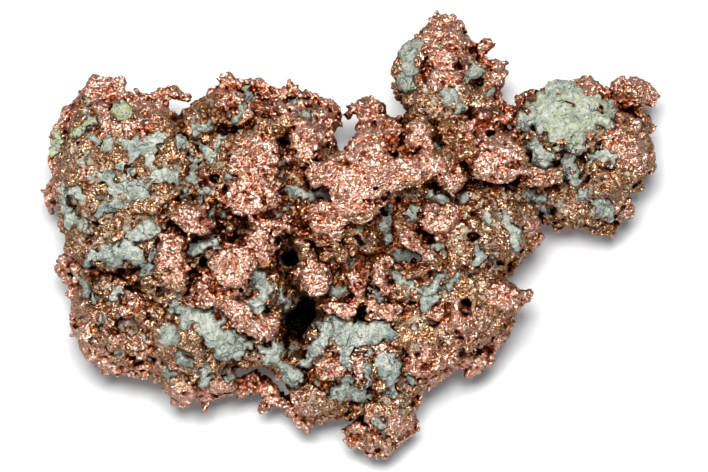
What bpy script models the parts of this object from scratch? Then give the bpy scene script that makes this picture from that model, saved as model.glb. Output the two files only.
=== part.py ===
"""Native copper nugget: one branching lump of metal that lies flat on a table.

X runs along its length, Y across it and Z up. The origin is on the table, below the middle of
its footprint. The nugget is built as the metal grew: broad masses, knotted arms and ridges that
run into each other, hollows and holes between them, a rough skin, and three worn feet.
"""

import bmesh
import bpy
from mathutils import Matrix, Vector

MM = 0.001

# The tables below are in millimetres.
# A mass is an egg-shaped lump: its centre (x, y, z), then its half length along X, Y and Z.
MASSES = {
    "left_dome": [
        (-31.5, 8.0, 12.5, 12.6, 11.5, 11.3), (-35.0, 14.0, 12.0, 8.0, 6.6, 8.0),
        (-33.0, 1.0, 12.0, 9.6, 6.6, 9.8), (-26.5, 11.5, 19.5, 3.2, 3.2, 4.0),
        (-27.5, 5.8, 20.5, 3.4, 2.3, 3.8), (-36.8, 17.2, 16.5, 2.5, 2.4, 3.6),
        (-31.5, 16.4, 18.0, 2.4, 1.8, 3.0), (-34.0, 18.4, 18.3, 1.3, 1.3, 1.6),
        (-35.8, 9.2, 20.6, 1.7, 1.4, 1.6), (-34.5, -2.6, 18.0, 5.0, 2.0, 2.6),
        (-30.0, -0.3, 19.8, 2.4, 2.2, 2.2), (-39.3, 5.5, 16.5, 2.6, 3.0, 3.4),
    ],
    "lower_left": [
        (-33.0, -12.5, 9.5, 8.2, 7.2, 8.5), (-24.0, -14.0, 10.5, 8.6, 7.8, 9.5),
        (-24.0, -20.0, 8.5, 4.6, 3.8, 5.5), (-39.0, -13.0, 13.0, 2.1, 3.4, 3.0),
        (-36.0, -8.0, 15.0, 3.2, 2.2, 3.0), (-35.0, -17.3, 11.0, 3.6, 2.2, 3.5),
        (-30.0, -18.2, 11.0, 3.0, 2.0, 3.5), (-26.9, -14.6, 18.0, 1.9, 1.8, 2.3),
        (-20.3, -13.8, 18.3, 5.0, 2.6, 2.6), (-24.0, -17.3, 15.0, 3.0, 1.6, 3.0),
        (-25.0, -22.3, 10.5, 2.3, 2.0, 3.5), (-20.0, -21.3, 11.5, 2.8, 2.0, 3.5),
        (-12.0, -17.2, 16.8, 2.5, 2.1, 2.2), (-13.2, -13.3, 20.3, 2.4, 1.8, 2.6),
    ],
    "centre_left": [
        (-19.0, -6.0, 13.0, 8.0, 8.0, 10.5), (-18.0, 9.0, 13.0, 8.2, 8.5, 10.8),
        (-17.5, 17.3, 12.0, 6.0, 4.3, 6.5), (-14.3, 12.3, 21.8, 3.8, 3.0, 3.6),
        (-14.6, 5.8, 22.4, 4.3, 2.9, 3.6), (-17.3, -4.5, 23.0, 2.9, 3.2, 3.5),
        (-22.5, 17.2, 18.0, 2.5, 2.2, 3.5), (-17.2, 18.6, 17.8, 2.9, 2.8, 3.6),
        (-26.0, -7.0, 14.0, 6.0, 5.0, 7.0), (-18.5, 1.2, 20.5, 1.9, 1.6, 3.2),
    ],
    "centre": [
        (-7.5, 7.0, 12.0, 8.0, 8.0, 9.5), (1.0, 3.0, 13.0, 8.5, 8.0, 10.5),
        (9.0, 9.5, 13.5, 8.0, 6.6, 10.5), (-8.0, 16.8, 12.5, 6.0, 3.6, 6.5),
        (-6.8, 13.3, 21.3, 2.6, 3.2, 3.7), (1.4, 8.0, 25.0, 5.4, 4.0, 4.6),
        (-3.3, 2.6, 23.3, 3.2, 2.5, 3.1), (3.0, 13.1, 21.5, 2.7, 2.2, 3.5),
        (6.2, 14.2, 20.8, 1.4, 2.3, 3.2), (10.3, 13.7, 22.0, 2.0, 3.1, 3.8),
        (-5.2, -6.2, 21.3, 2.4, 2.4, 3.1), (-5.0, -3.0, 14.0, 5.0, 5.0, 8.0),
        (-8.0, 6.2, 18.5, 2.6, 2.2, 2.6),
    ],
    "right_centre": [
        (14.0, 0.0, 13.0, 9.0, 8.6, 10.0), (21.0, 4.0, 12.5, 6.8, 6.6, 9.5),
        (22.0, 11.5, 13.0, 4.8, 4.2, 9.0), (17.0, -9.0, 11.0, 7.6, 7.6, 8.8),
        (22.2, 10.9, 23.6, 4.0, 3.3, 4.2), (13.0, 2.6, 21.5, 3.2, 2.6, 3.2),
        (19.2, -0.2, 18.8, 6.6, 5.0, 4.6), (22.5, -8.9, 15.5, 3.4, 1.9, 4.0),
        (8.5, -6.0, 16.0, 6.0, 5.0, 6.0),
    ],
    "middle": [
        (-8.0, -9.0, 6.5, 8.5, 9.0, 6.0), (-13.2, -9.0, 14.0, 3.2, 6.0, 7.6),
        (3.0, -7.6, 13.0, 5.2, 5.0, 8.2), (-13.6, -16.6, 11.0, 4.4, 2.9, 6.4),
        (-9.2, -18.6, 10.5, 2.7, 3.3, 5.4), (8.6, -21.2, 8.5, 3.0, 2.8, 5.0),
        (19.0, 17.0, 9.5, 4.2, 4.4, 6.6), (-39.4, -6.6, 9.0, 2.6, 2.6, 3.4),
        (-1.6, -9.2, 14.5, 2.6, 3.2, 5.0), (3.6, 17.0, 11.5, 1.6, 1.6, 1.8),
        (0.6, -27.2, 7.4, 2.2, 1.6, 2.2), (-9.0, -2.2, 10.0, 4.4, 5.0, 5.4),
    ],
    "underside": [
        (-29.0, 6.0, 8.0, 10.5, 9.5, 8.4), (-22.0, -12.0, 8.0, 8.5, 8.0, 7.6),
        (-12.0, 10.0, 8.5, 8.5, 7.0, 7.4), (6.0, 3.0, 8.2, 10.0, 9.0, 7.3),
        (3.5, -17.5, 7.6, 7.0, 6.5, 7.9), (20.5, 6.0, 8.0, 8.0, 7.6, 6.6),
        (34.5, 11.0, 7.4, 7.6, 7.4, 7.8), (14.0, 22.0, 8.6, 5.6, 6.6, 6.4),
        (-33.0, -12.0, 7.0, 6.0, 6.0, 5.2), (17.0, -9.0, 7.6, 7.0, 6.6, 6.2),
    ],
    "bottom": [
        (9.0, -14.0, 10.5, 8.0, 6.5, 9.0), (0.0, -17.0, 10.5, 7.0, 6.5, 8.8),
        (-4.0, -23.3, 8.5, 5.0, 3.6, 6.0), (5.0, -26.0, 8.0, 4.0, 4.4, 5.2),
        (-0.5, -14.8, 17.5, 5.5, 3.0, 2.6), (4.6, -13.8, 17.5, 3.0, 2.2, 2.6),
        (4.8, -19.6, 16.8, 2.4, 2.0, 2.2), (-4.8, -23.6, 13.8, 2.8, 2.2, 3.2),
        (10.6, -19.3, 13.5, 3.2, 2.0, 4.2), (-8.6, -20.0, 14.3, 2.0, 1.7, 2.3),
        (4.2, -30.0, 8.8, 3.2, 2.0, 2.6), (7.8, -27.0, 9.0, 1.8, 2.1, 2.8),
    ],
    "peak": [
        (13.5, 19.5, 12.0, 6.2, 5.6, 7.8), (14.0, 26.8, 11.5, 5.0, 4.8, 5.6),
        (20.0, 23.3, 12.5, 2.6, 2.6, 4.2), (14.2, 27.0, 15.8, 2.8, 2.4, 2.6),
        (14.4, 23.6, 17.2, 2.6, 1.6, 2.6), (8.9, 25.2, 13.8, 1.7, 3.2, 2.8),
        (15.0, 19.2, 18.4, 2.0, 1.4, 2.0), (19.0, 20.3, 16.8, 2.0, 1.6, 2.2),
    ],
    "right_lobe": [
        (31.0, 15.5, 10.0, 6.2, 5.4, 7.6), (37.5, 12.5, 9.5, 6.2, 7.6, 7.6),
        (33.0, 6.5, 9.5, 6.2, 4.6, 7.2), (26.5, 11.0, 11.5, 4.6, 4.0, 6.8),
        (32.0, 17.4, 16.2, 6.4, 4.9, 3.2), (29.2, 12.2, 17.5, 1.9, 2.2, 2.3),
        (33.2, 9.7, 16.8, 1.4, 2.1, 2.0), (41.6, 13.2, 13.0, 2.4, 4.8, 4.4),
        (37.0, 7.4, 13.6, 3.6, 2.5, 3.8), (36.3, 4.3, 12.0, 3.2, 1.9, 3.4),
        (42.2, 21.2, 11.0, 2.0, 1.8, 1.9),
    ],
}

# A chain is a knotted arm or ridge: each knot is (x, y, z, radius), and the metal runs from knot to knot.
CHAINS = {
    # The rim, from the horn at the far left corner round the outline.
    "horn": [
        (-38.7, 22.7, 13.0, 1.35), (-36.8, 22.2, 13.0, 1.3), (-35.2, 22.6, 13.0, 0.9),
        (-34.3, 22.9, 13.0, 0.75),
    ],
    "horn_root": [(-38.9, 21.6, 13.0, 1.4), (-38.2, 19.5, 13.0, 2.2), (-34.5, 20.3, 13.0, 1.6)],
    "left_rim": [
        (-39.6, 20.4, 13.0, 1.7), (-41.6, 18.5, 12.5, 1.55), (-42.9, 16.6, 12.0, 1.5),
        (-43.4, 14.3, 12.0, 1.7), (-43.5, 11.8, 11.5, 1.8), (-43.2, 9.3, 11.5, 1.5),
    ],
    "left_flap": [
        (-43.2, 8.0, 10.0, 1.0), (-44.4, 7.6, 9.0, 0.9), (-45.0, 6.0, 8.5, 0.95),
        (-45.3, 4.6, 8.0, 0.6),
    ],
    "left_waist": [(-42.0, 4.5, 12.0, 1.9), (-41.9, 1.2, 12.0, 1.6), (-40.9, -1.1, 12.0, 1.4)],
    "left_knob": [(-43.0, -4.4, 9.0, 1.45), (-41.4, -3.5, 9.5, 1.6), (-39.0, -5.0, 9.5, 1.8)],
    "left_low_rim": [
        (-42.1, -6.4, 8.5, 0.8), (-41.0, -8.0, 8.5, 1.3), (-40.3, -11.3, 9.0, 1.5),
        (-40.0, -13.9, 8.5, 1.6), (-39.3, -16.0, 8.0, 1.3), (-37.8, -17.9, 7.5, 1.3),
        (-36.4, -19.2, 7.5, 1.2), (-34.0, -19.5, 7.5, 1.2), (-31.5, -19.8, 7.5, 1.3),
        (-29.4, -19.7, 7.5, 1.3),
    ],
    "left_tick": [(-40.3, -11.8, 9.0, 1.2), (-41.6, -12.1, 9.0, 0.6)],
    "toe_rim": [
        (-28.6, -20.0, 7.5, 1.2), (-27.1, -22.0, 7.5, 1.1), (-26.2, -23.6, 7.5, 1.3),
        (-25.5, -24.3, 7.5, 1.0), (-23.8, -23.6, 7.5, 1.1), (-21.9, -23.8, 7.0, 1.0),
        (-20.3, -23.6, 7.0, 1.0), (-18.1, -22.9, 7.0, 0.95),
    ],
    "toe_drop": [(-21.8, -24.2, 7.0, 0.8), (-21.8, -25.5, 6.5, 0.6)],
    "window_arm": [
        (-18.1, -22.3, 7.5, 1.1), (-16.3, -22.8, 7.2, 1.1), (-14.5, -22.4, 7.0, 1.1),
        (-12.9, -22.6, 7.0, 1.0), (-12.2, -24.0, 7.0, 1.0), (-10.8, -24.8, 7.0, 1.15),
        (-9.0, -25.1, 7.0, 1.2), (-7.4, -25.4, 7.2, 1.4),
    ],
    "window_foot": [(-12.0, -24.6, 7.0, 0.9), (-12.9, -25.8, 6.5, 0.95)],
    "window_spike_a": [(-14.6, -22.0, 7.0, 0.8), (-14.3, -20.6, 7.5, 0.5)],
    "window_spike_b": [(-12.6, -22.4, 7.0, 0.8), (-12.3, -21.4, 7.3, 0.5)],
    "bottom_rim": [(-8.0, -26.6, 6.5, 1.0), (-7.2, -27.7, 6.5, 1.0), (-6.8, -28.7, 6.2, 0.6)],
    "bottom_lip": [
        (-6.6, -27.0, 6.8, 1.1), (-5.2, -27.3, 6.6, 0.95), (-3.5, -27.2, 6.6, 1.0),
        (-1.7, -26.9, 6.6, 0.85), (0.3, -25.6, 7.0, 0.9),
    ],
    "tail_rim": [
        (2.4, -27.0, 7.5, 1.1), (1.9, -29.3, 7.0, 0.9), (0.3, -30.4, 6.5, 1.15), (2.0, -31.1, 6.2, 1.1),
        (3.7, -32.0, 6.0, 1.2), (5.5, -31.4, 6.0, 1.3), (7.1, -30.1, 6.2, 1.3), (8.5, -28.6, 6.6, 1.1),
        (8.4, -26.6, 7.0, 1.1), (8.7, -24.7, 7.5, 1.0), (10.1, -23.9, 8.0, 0.55),
        (10.8, -23.5, 8.5, 0.35),
    ],
    "tail_spur": [(1.5, -29.3, 7.0, 0.7), (-0.7, -29.1, 6.6, 0.5)],
    "tail_tick": [(9.0, -28.1, 6.8, 0.7), (10.0, -28.0, 7.0, 0.4)],
    "low_right_rim": [
        (10.5, -21.6, 8.5, 1.0), (12.1, -21.1, 9.0, 1.2), (13.8, -20.3, 9.0, 1.3),
        (15.8, -18.6, 8.5, 1.1), (18.0, -18.4, 8.0, 1.2), (20.3, -18.1, 8.0, 1.2),
        (21.2, -16.2, 8.5, 1.3), (22.1, -14.3, 9.0, 1.4), (22.7, -12.0, 9.5, 1.5),
        (23.7, -10.4, 10.0, 1.5), (25.6, -9.2, 10.5, 1.2), (26.3, -9.1, 10.5, 0.7),
    ],
    "low_right_drop": [(19.2, -19.0, 7.8, 1.2), (18.2, -20.2, 7.4, 1.05)],
    "east_ledge": [(20.0, -7.6, 11.5, 1.5), (23.2, -8.2, 11.3, 1.0), (25.2, -8.3, 11.0, 0.8)],
    "east_tip": [
        (21.8, -4.2, 11.0, 1.2), (23.9, -3.6, 11.0, 1.1), (25.7, -1.9, 10.5, 1.1),
        (27.5, -0.3, 10.0, 1.0), (27.0, 1.6, 10.5, 1.2),
    ],
    "lobe_low_rim": [
        (27.5, 4.4, 9.0, 1.4), (29.3, 3.3, 8.5, 1.2), (31.0, 2.3, 8.0, 0.9), (33.2, 3.0, 8.0, 1.3),
        (35.2, 2.6, 8.0, 1.35), (37.3, 2.1, 8.0, 1.4), (39.1, 1.3, 7.5, 1.25), (39.5, 3.0, 8.0, 1.2),
        (41.0, 3.7, 8.5, 1.2), (40.3, 5.5, 9.0, 1.4), (42.1, 7.7, 9.0, 1.2), (42.9, 9.7, 9.5, 1.1),
        (44.4, 11.1, 9.0, 1.2), (43.4, 13.8, 9.5, 1.4), (44.1, 16.3, 9.5, 1.0), (43.0, 18.3, 10.0, 1.2),
    ],
    "lobe_drop": [(31.0, 2.3, 8.0, 0.7), (31.0, 1.3, 7.6, 0.5)],
    "lobe_tick_a": [(42.6, 7.6, 8.8, 0.9), (43.4, 7.3, 8.5, 0.6)],
    "lobe_tick_b": [(44.0, 11.6, 9.0, 0.9), (44.8, 12.0, 9.0, 0.7)],
    "rosette_a": [(42.2, 21.2, 11.0, 1.6), (40.3, 22.2, 11.0, 1.15)],
    "rosette_b": [(42.2, 21.2, 11.0, 1.6), (42.6, 23.2, 11.0, 0.75)],
    "rosette_c": [(42.8, 21.4, 11.0, 1.6), (44.3, 21.7, 10.6, 0.95), (45.2, 21.5, 10.5, 0.75)],
    "rosette_d": [(43.0, 20.8, 10.8, 1.5), (45.0, 20.6, 10.5, 0.8)],
    "rosette_e": [(42.6, 20.6, 10.8, 1.6), (43.0, 18.6, 10.3, 1.3)],
    "rosette_root": [(41.6, 20.2, 10.6, 1.5), (39.9, 19.6, 10.5, 1.3), (38.4, 19.2, 11.0, 1.4)],
    "lobe_top_rim": [
        (38.0, 20.6, 11.0, 0.9), (36.9, 21.5, 11.0, 0.95), (35.6, 22.5, 11.2, 1.05),
        (34.2, 22.6, 11.4, 1.05), (33.2, 21.8, 11.6, 1.1),
    ],
    "plate_rim": [
        (33.0, 21.2, 13.8, 1.2), (31.3, 21.7, 14.0, 1.3), (29.6, 20.9, 14.0, 1.3),
        (27.5, 19.9, 13.6, 1.3), (26.0, 19.9, 12.6, 0.9), (25.5, 20.4, 12.0, 0.45),
    ],
    "neck_top": [
        (27.0, 18.6, 12.8, 1.3), (25.0, 18.2, 12.0, 1.1), (23.6, 18.7, 12.0, 0.8),
        (22.2, 19.2, 12.0, 1.0),
    ],
    "neck_ring_a": [
        (21.4, 17.6, 13.4, 1.1), (23.0, 17.5, 13.6, 0.7), (24.8, 16.8, 14.0, 0.7),
        (26.4, 15.4, 14.2, 0.8),
    ],
    "neck_ring_b": [
        (26.4, 15.2, 14.2, 0.8), (24.6, 14.5, 14.2, 0.8), (22.6, 14.4, 14.2, 0.9),
        (21.4, 15.4, 13.6, 0.8), (21.4, 17.2, 13.4, 0.9),
    ],
    "peak_east_rim": [
        (21.7, 20.7, 12.0, 1.0), (21.9, 22.9, 12.2, 1.2), (22.1, 25.0, 12.4, 1.1),
        (20.4, 25.1, 12.4, 1.2), (18.4, 26.4, 12.2, 1.4),
    ],
    "peak_corner": [(22.2, 25.2, 12.4, 0.9), (23.1, 25.8, 12.4, 0.4)],
    "peak_spur": [(18.3, 27.0, 12.2, 1.0), (19.6, 27.8, 12.4, 0.8), (20.5, 28.9, 12.6, 0.75)],
    "peak_top_rim": [
        (16.2, 28.4, 11.6, 1.2), (15.6, 30.0, 11.6, 1.1), (15.6, 31.2, 11.6, 1.1),
        (14.0, 32.0, 11.6, 1.25), (13.2, 31.4, 11.6, 1.2), (12.2, 29.6, 11.6, 1.3),
        (10.3, 28.7, 11.4, 1.2), (8.9, 27.7, 11.2, 1.15), (8.2, 26.5, 11.0, 1.3),
        (7.9, 24.8, 11.0, 1.4), (7.6, 23.1, 11.0, 1.2), (8.1, 21.2, 11.0, 1.1),
    ],
    "peak_tick": [(16.0, 30.6, 11.6, 0.8), (17.3, 30.5, 11.6, 0.4)],
    "peak_west_root": [
        (8.1, 21.0, 11.0, 0.9), (10.2, 19.2, 12.0, 1.4), (10.0, 17.0, 13.4, 1.2),
        (7.9, 16.6, 13.8, 0.8),
    ],
    "hook_finger": [
        (-0.2, 17.8, 13.0, 0.3), (0.3, 18.7, 13.0, 0.55), (1.5, 19.2, 13.2, 0.95),
        (3.0, 19.0, 13.4, 1.25), (4.1, 18.8, 13.4, 1.0),
    ],
    "hook_stem": [
        (3.2, 18.6, 13.4, 1.4), (3.0, 17.1, 14.0, 1.3), (3.0, 15.8, 15.0, 1.4), (3.2, 14.0, 17.0, 2.2),
    ],
    "saddle": [
        (4.2, 16.4, 14.6, 1.2), (5.7, 16.6, 14.6, 1.2), (6.8, 16.7, 14.4, 1.0), (7.0, 15.0, 16.0, 1.6),
    ],
    "notch_west": [
        (-4.5, 19.2, 13.2, 1.0), (-3.4, 19.1, 13.2, 0.9), (-2.5, 18.3, 13.2, 0.95),
        (-2.5, 16.9, 13.4, 1.1), (-2.9, 15.6, 14.0, 1.0), (-4.2, 14.0, 15.0, 1.8),
    ],
    "notch_floor": [(-3.6, 12.6, 14.0, 1.4), (-1.6, 10.9, 15.0, 1.2), (0.6, 12.2, 15.0, 1.0)],
    "top_rim_c": [
        (-5.2, 19.8, 13.2, 1.0), (-6.4, 20.5, 13.2, 1.0), (-7.7, 20.8, 13.2, 1.0),
        (-8.5, 22.1, 13.2, 0.6),
    ],
    "top_rim_b": [(-8.6, 21.4, 13.2, 0.8), (-10.2, 21.0, 13.2, 1.0), (-11.8, 20.4, 13.2, 1.0)],
    "top_curl": [(-11.9, 20.9, 13.0, 0.7), (-12.2, 21.9, 12.8, 0.5), (-12.9, 22.5, 12.8, 0.35)],
    "top_rim_a": [
        (-13.6, 20.6, 13.0, 1.2), (-14.2, 22.3, 13.0, 0.85), (-15.7, 22.0, 13.0, 0.9),
        (-17.1, 22.1, 13.0, 0.95), (-18.4, 23.0, 13.0, 0.85), (-18.5, 21.5, 13.0, 1.1),
        (-18.9, 19.8, 13.0, 1.6),
    ],
    "top_beak": [(-18.4, 23.1, 13.0, 0.7), (-19.2, 23.0, 13.0, 0.3)],
    "top_tooth": [(-20.8, 19.8, 12.6, 1.2), (-20.6, 21.5, 12.6, 0.6)],
    "shoulder": [(-20.6, 18.6, 12.8, 1.6), (-22.7, 18.4, 12.6, 1.1), (-24.5, 18.7, 12.6, 0.7)],
    "top_hook": [
        (-31.6, 19.4, 13.0, 1.7), (-29.2, 20.1, 13.0, 1.3), (-27.6, 20.7, 13.0, 0.8),
        (-26.3, 21.6, 13.0, 0.75), (-25.5, 21.2, 13.0, 0.6), (-24.9, 20.7, 13.0, 0.32),
    ],
    "top_jag": [(-31.2, 20.6, 13.0, 0.9), (-31.7, 21.8, 13.0, 0.4)],
    # The ridges and knobs that stand on the upper face.
    "ridge_a": [(-13.4, 16.0, 20.5, 1.4), (-10.2, 16.3, 21.0, 1.4), (-7.2, 16.4, 21.0, 1.4)],
    "ridge_b": [
        (-17.6, 9.6, 24.2, 0.9), (-14.8, 9.3, 24.6, 1.0), (-12.2, 8.3, 24.6, 1.0),
        (-10.4, 7.2, 23.4, 0.9),
    ],
    "ridge_c": [
        (5.0, 9.3, 26.8, 2.1), (8.8, 9.6, 26.4, 1.9), (11.8, 10.7, 25.8, 1.6), (13.8, 12.0, 24.6, 1.4),
    ],
    "knob_c": [(15.0, 8.7, 24.6, 1.9), (15.6, 9.6, 22.0, 1.8)],
    "ridge_d": [(16.5, 14.4, 21.0, 1.2), (17.8, 12.3, 22.6, 1.2), (19.0, 10.6, 23.4, 1.3)],
    "ridge_e": [
        (-26.8, 4.9, 22.6, 0.9), (-25.0, 3.3, 23.6, 1.5), (-23.0, 2.2, 24.2, 1.9),
        (-21.5, 1.5, 23.6, 1.3),
    ],
    "ridge_f": [
        (-26.0, 0.0, 22.0, 1.4), (-26.9, -2.5, 22.8, 1.8), (-26.6, -5.2, 23.2, 1.9),
        (-24.9, -6.7, 23.6, 1.5),
    ],
    "ridge_f_spur": [(-27.2, -6.3, 21.5, 1.0), (-30.3, -6.9, 20.0, 0.4)],
    "ridge_g": [
        (-21.3, -5.2, 23.4, 0.8), (-21.7, -7.5, 23.4, 1.2), (-21.5, -9.6, 23.2, 1.3),
        (-18.6, -9.9, 23.0, 1.1), (-16.6, -11.7, 22.6, 1.3), (-14.4, -13.1, 22.0, 1.4),
        (-13.0, -14.2, 21.2, 1.5), (-12.7, -16.4, 19.6, 1.0),
    ],
    "ridge_h": [(-13.8, 1.7, 23.4, 1.4), (-13.5, -1.0, 23.8, 1.7), (-12.8, -3.1, 23.0, 1.3)],
    "ridge_i": [(-12.0, 1.9, 23.2, 0.9), (-9.6, 1.8, 23.4, 1.1), (-7.8, 1.2, 23.0, 0.9)],
    "ridge_j": [(-7.0, -0.3, 22.6, 1.1), (-6.5, -2.5, 22.4, 1.2), (-6.2, -4.2, 22.0, 1.2)],
    "ridge_k": [(-5.0, 0.1, 23.8, 1.0), (-3.0, -1.4, 23.6, 1.1), (-1.4, -2.8, 22.8, 0.9)],
    "ridge_l": [(-2.4, -10.8, 19.6, 1.4), (0.1, -10.9, 19.8, 1.3)],
    "ridge_m": [(3.4, -11.3, 19.6, 1.25), (6.0, -11.3, 19.6, 1.25)],
    "ridge_n": [(-0.6, -4.9, 21.6, 0.9), (0.3, -6.8, 21.6, 1.0), (1.2, -9.0, 21.0, 0.9)],
    "ridge_o": [
        (7.2, 2.6, 23.2, 0.9), (8.3, 0.3, 23.8, 1.2), (9.8, -1.3, 23.8, 1.1), (11.5, -2.6, 23.6, 1.0),
        (13.0, -4.4, 22.6, 0.9),
    ],
    "ridge_p": [(11.6, -4.4, 22.6, 0.9), (10.9, -5.4, 22.6, 1.0), (9.6, -5.6, 22.2, 0.8)],
    "ridge_q": [(1.5, 2.2, 23.4, 0.8), (3.0, 0.8, 23.6, 0.8), (3.9, -0.9, 23.0, 0.7)],
    "ridge_r": [
        (5.9, -3.1, 22.2, 0.8), (4.8, -4.4, 22.6, 1.0), (4.4, -6.2, 22.4, 1.0), (5.4, -8.0, 21.8, 0.9),
    ],
    "ridge_s": [
        (-2.9, -17.3, 18.4, 0.6), (-2.7, -19.0, 18.2, 1.1), (-4.3, -19.9, 17.6, 1.1),
        (-3.0, -20.8, 17.2, 0.9),
    ],
    "ridge_t": [
        (-0.3, -18.2, 18.4, 0.8), (0.9, -18.3, 18.6, 1.1), (1.2, -20.0, 18.2, 0.9),
        (1.3, -21.8, 17.0, 0.6),
    ],
    "ridge_u": [(3.2, -16.0, 19.0, 0.6), (4.5, -16.9, 19.0, 0.8), (6.5, -17.3, 18.4, 0.8)],
    "ridge_v": [(4.3, -22.6, 17.0, 0.9), (4.5, -21.4, 17.4, 0.5)],
    "ridge_w": [(26.1, 8.9, 19.8, 1.4), (28.5, 8.6, 19.8, 1.4), (31.0, 9.5, 19.2, 1.2)],
    "ridge_x": [
        (20.4, -13.5, 15.0, 1.6), (18.0, -15.4, 14.6, 1.7), (15.2, -16.9, 14.6, 1.8),
        (12.2, -18.4, 14.6, 1.9),
    ],
    "ridge_y": [(22.0, -11.2, 15.0, 1.6), (20.4, -13.5, 15.0, 1.5)],
    "knob_left_a": [(-39.4, 9.4, 19.4, 1.1)],
    "knob_left_b": [(-21.6, 9.1, 22.8, 0.9)],
    "knob_low_a": [(-31.8, -9.8, 16.8, 1.8)],
    "knob_low_b": [(-28.9, -11.4, 18.4, 1.3)],
    "knob_low_c": [(-29.6, -13.8, 17.6, 1.4)],
    "plate_knob": [(29.4, 13.2, 19.2, 1.3)],
}

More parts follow.
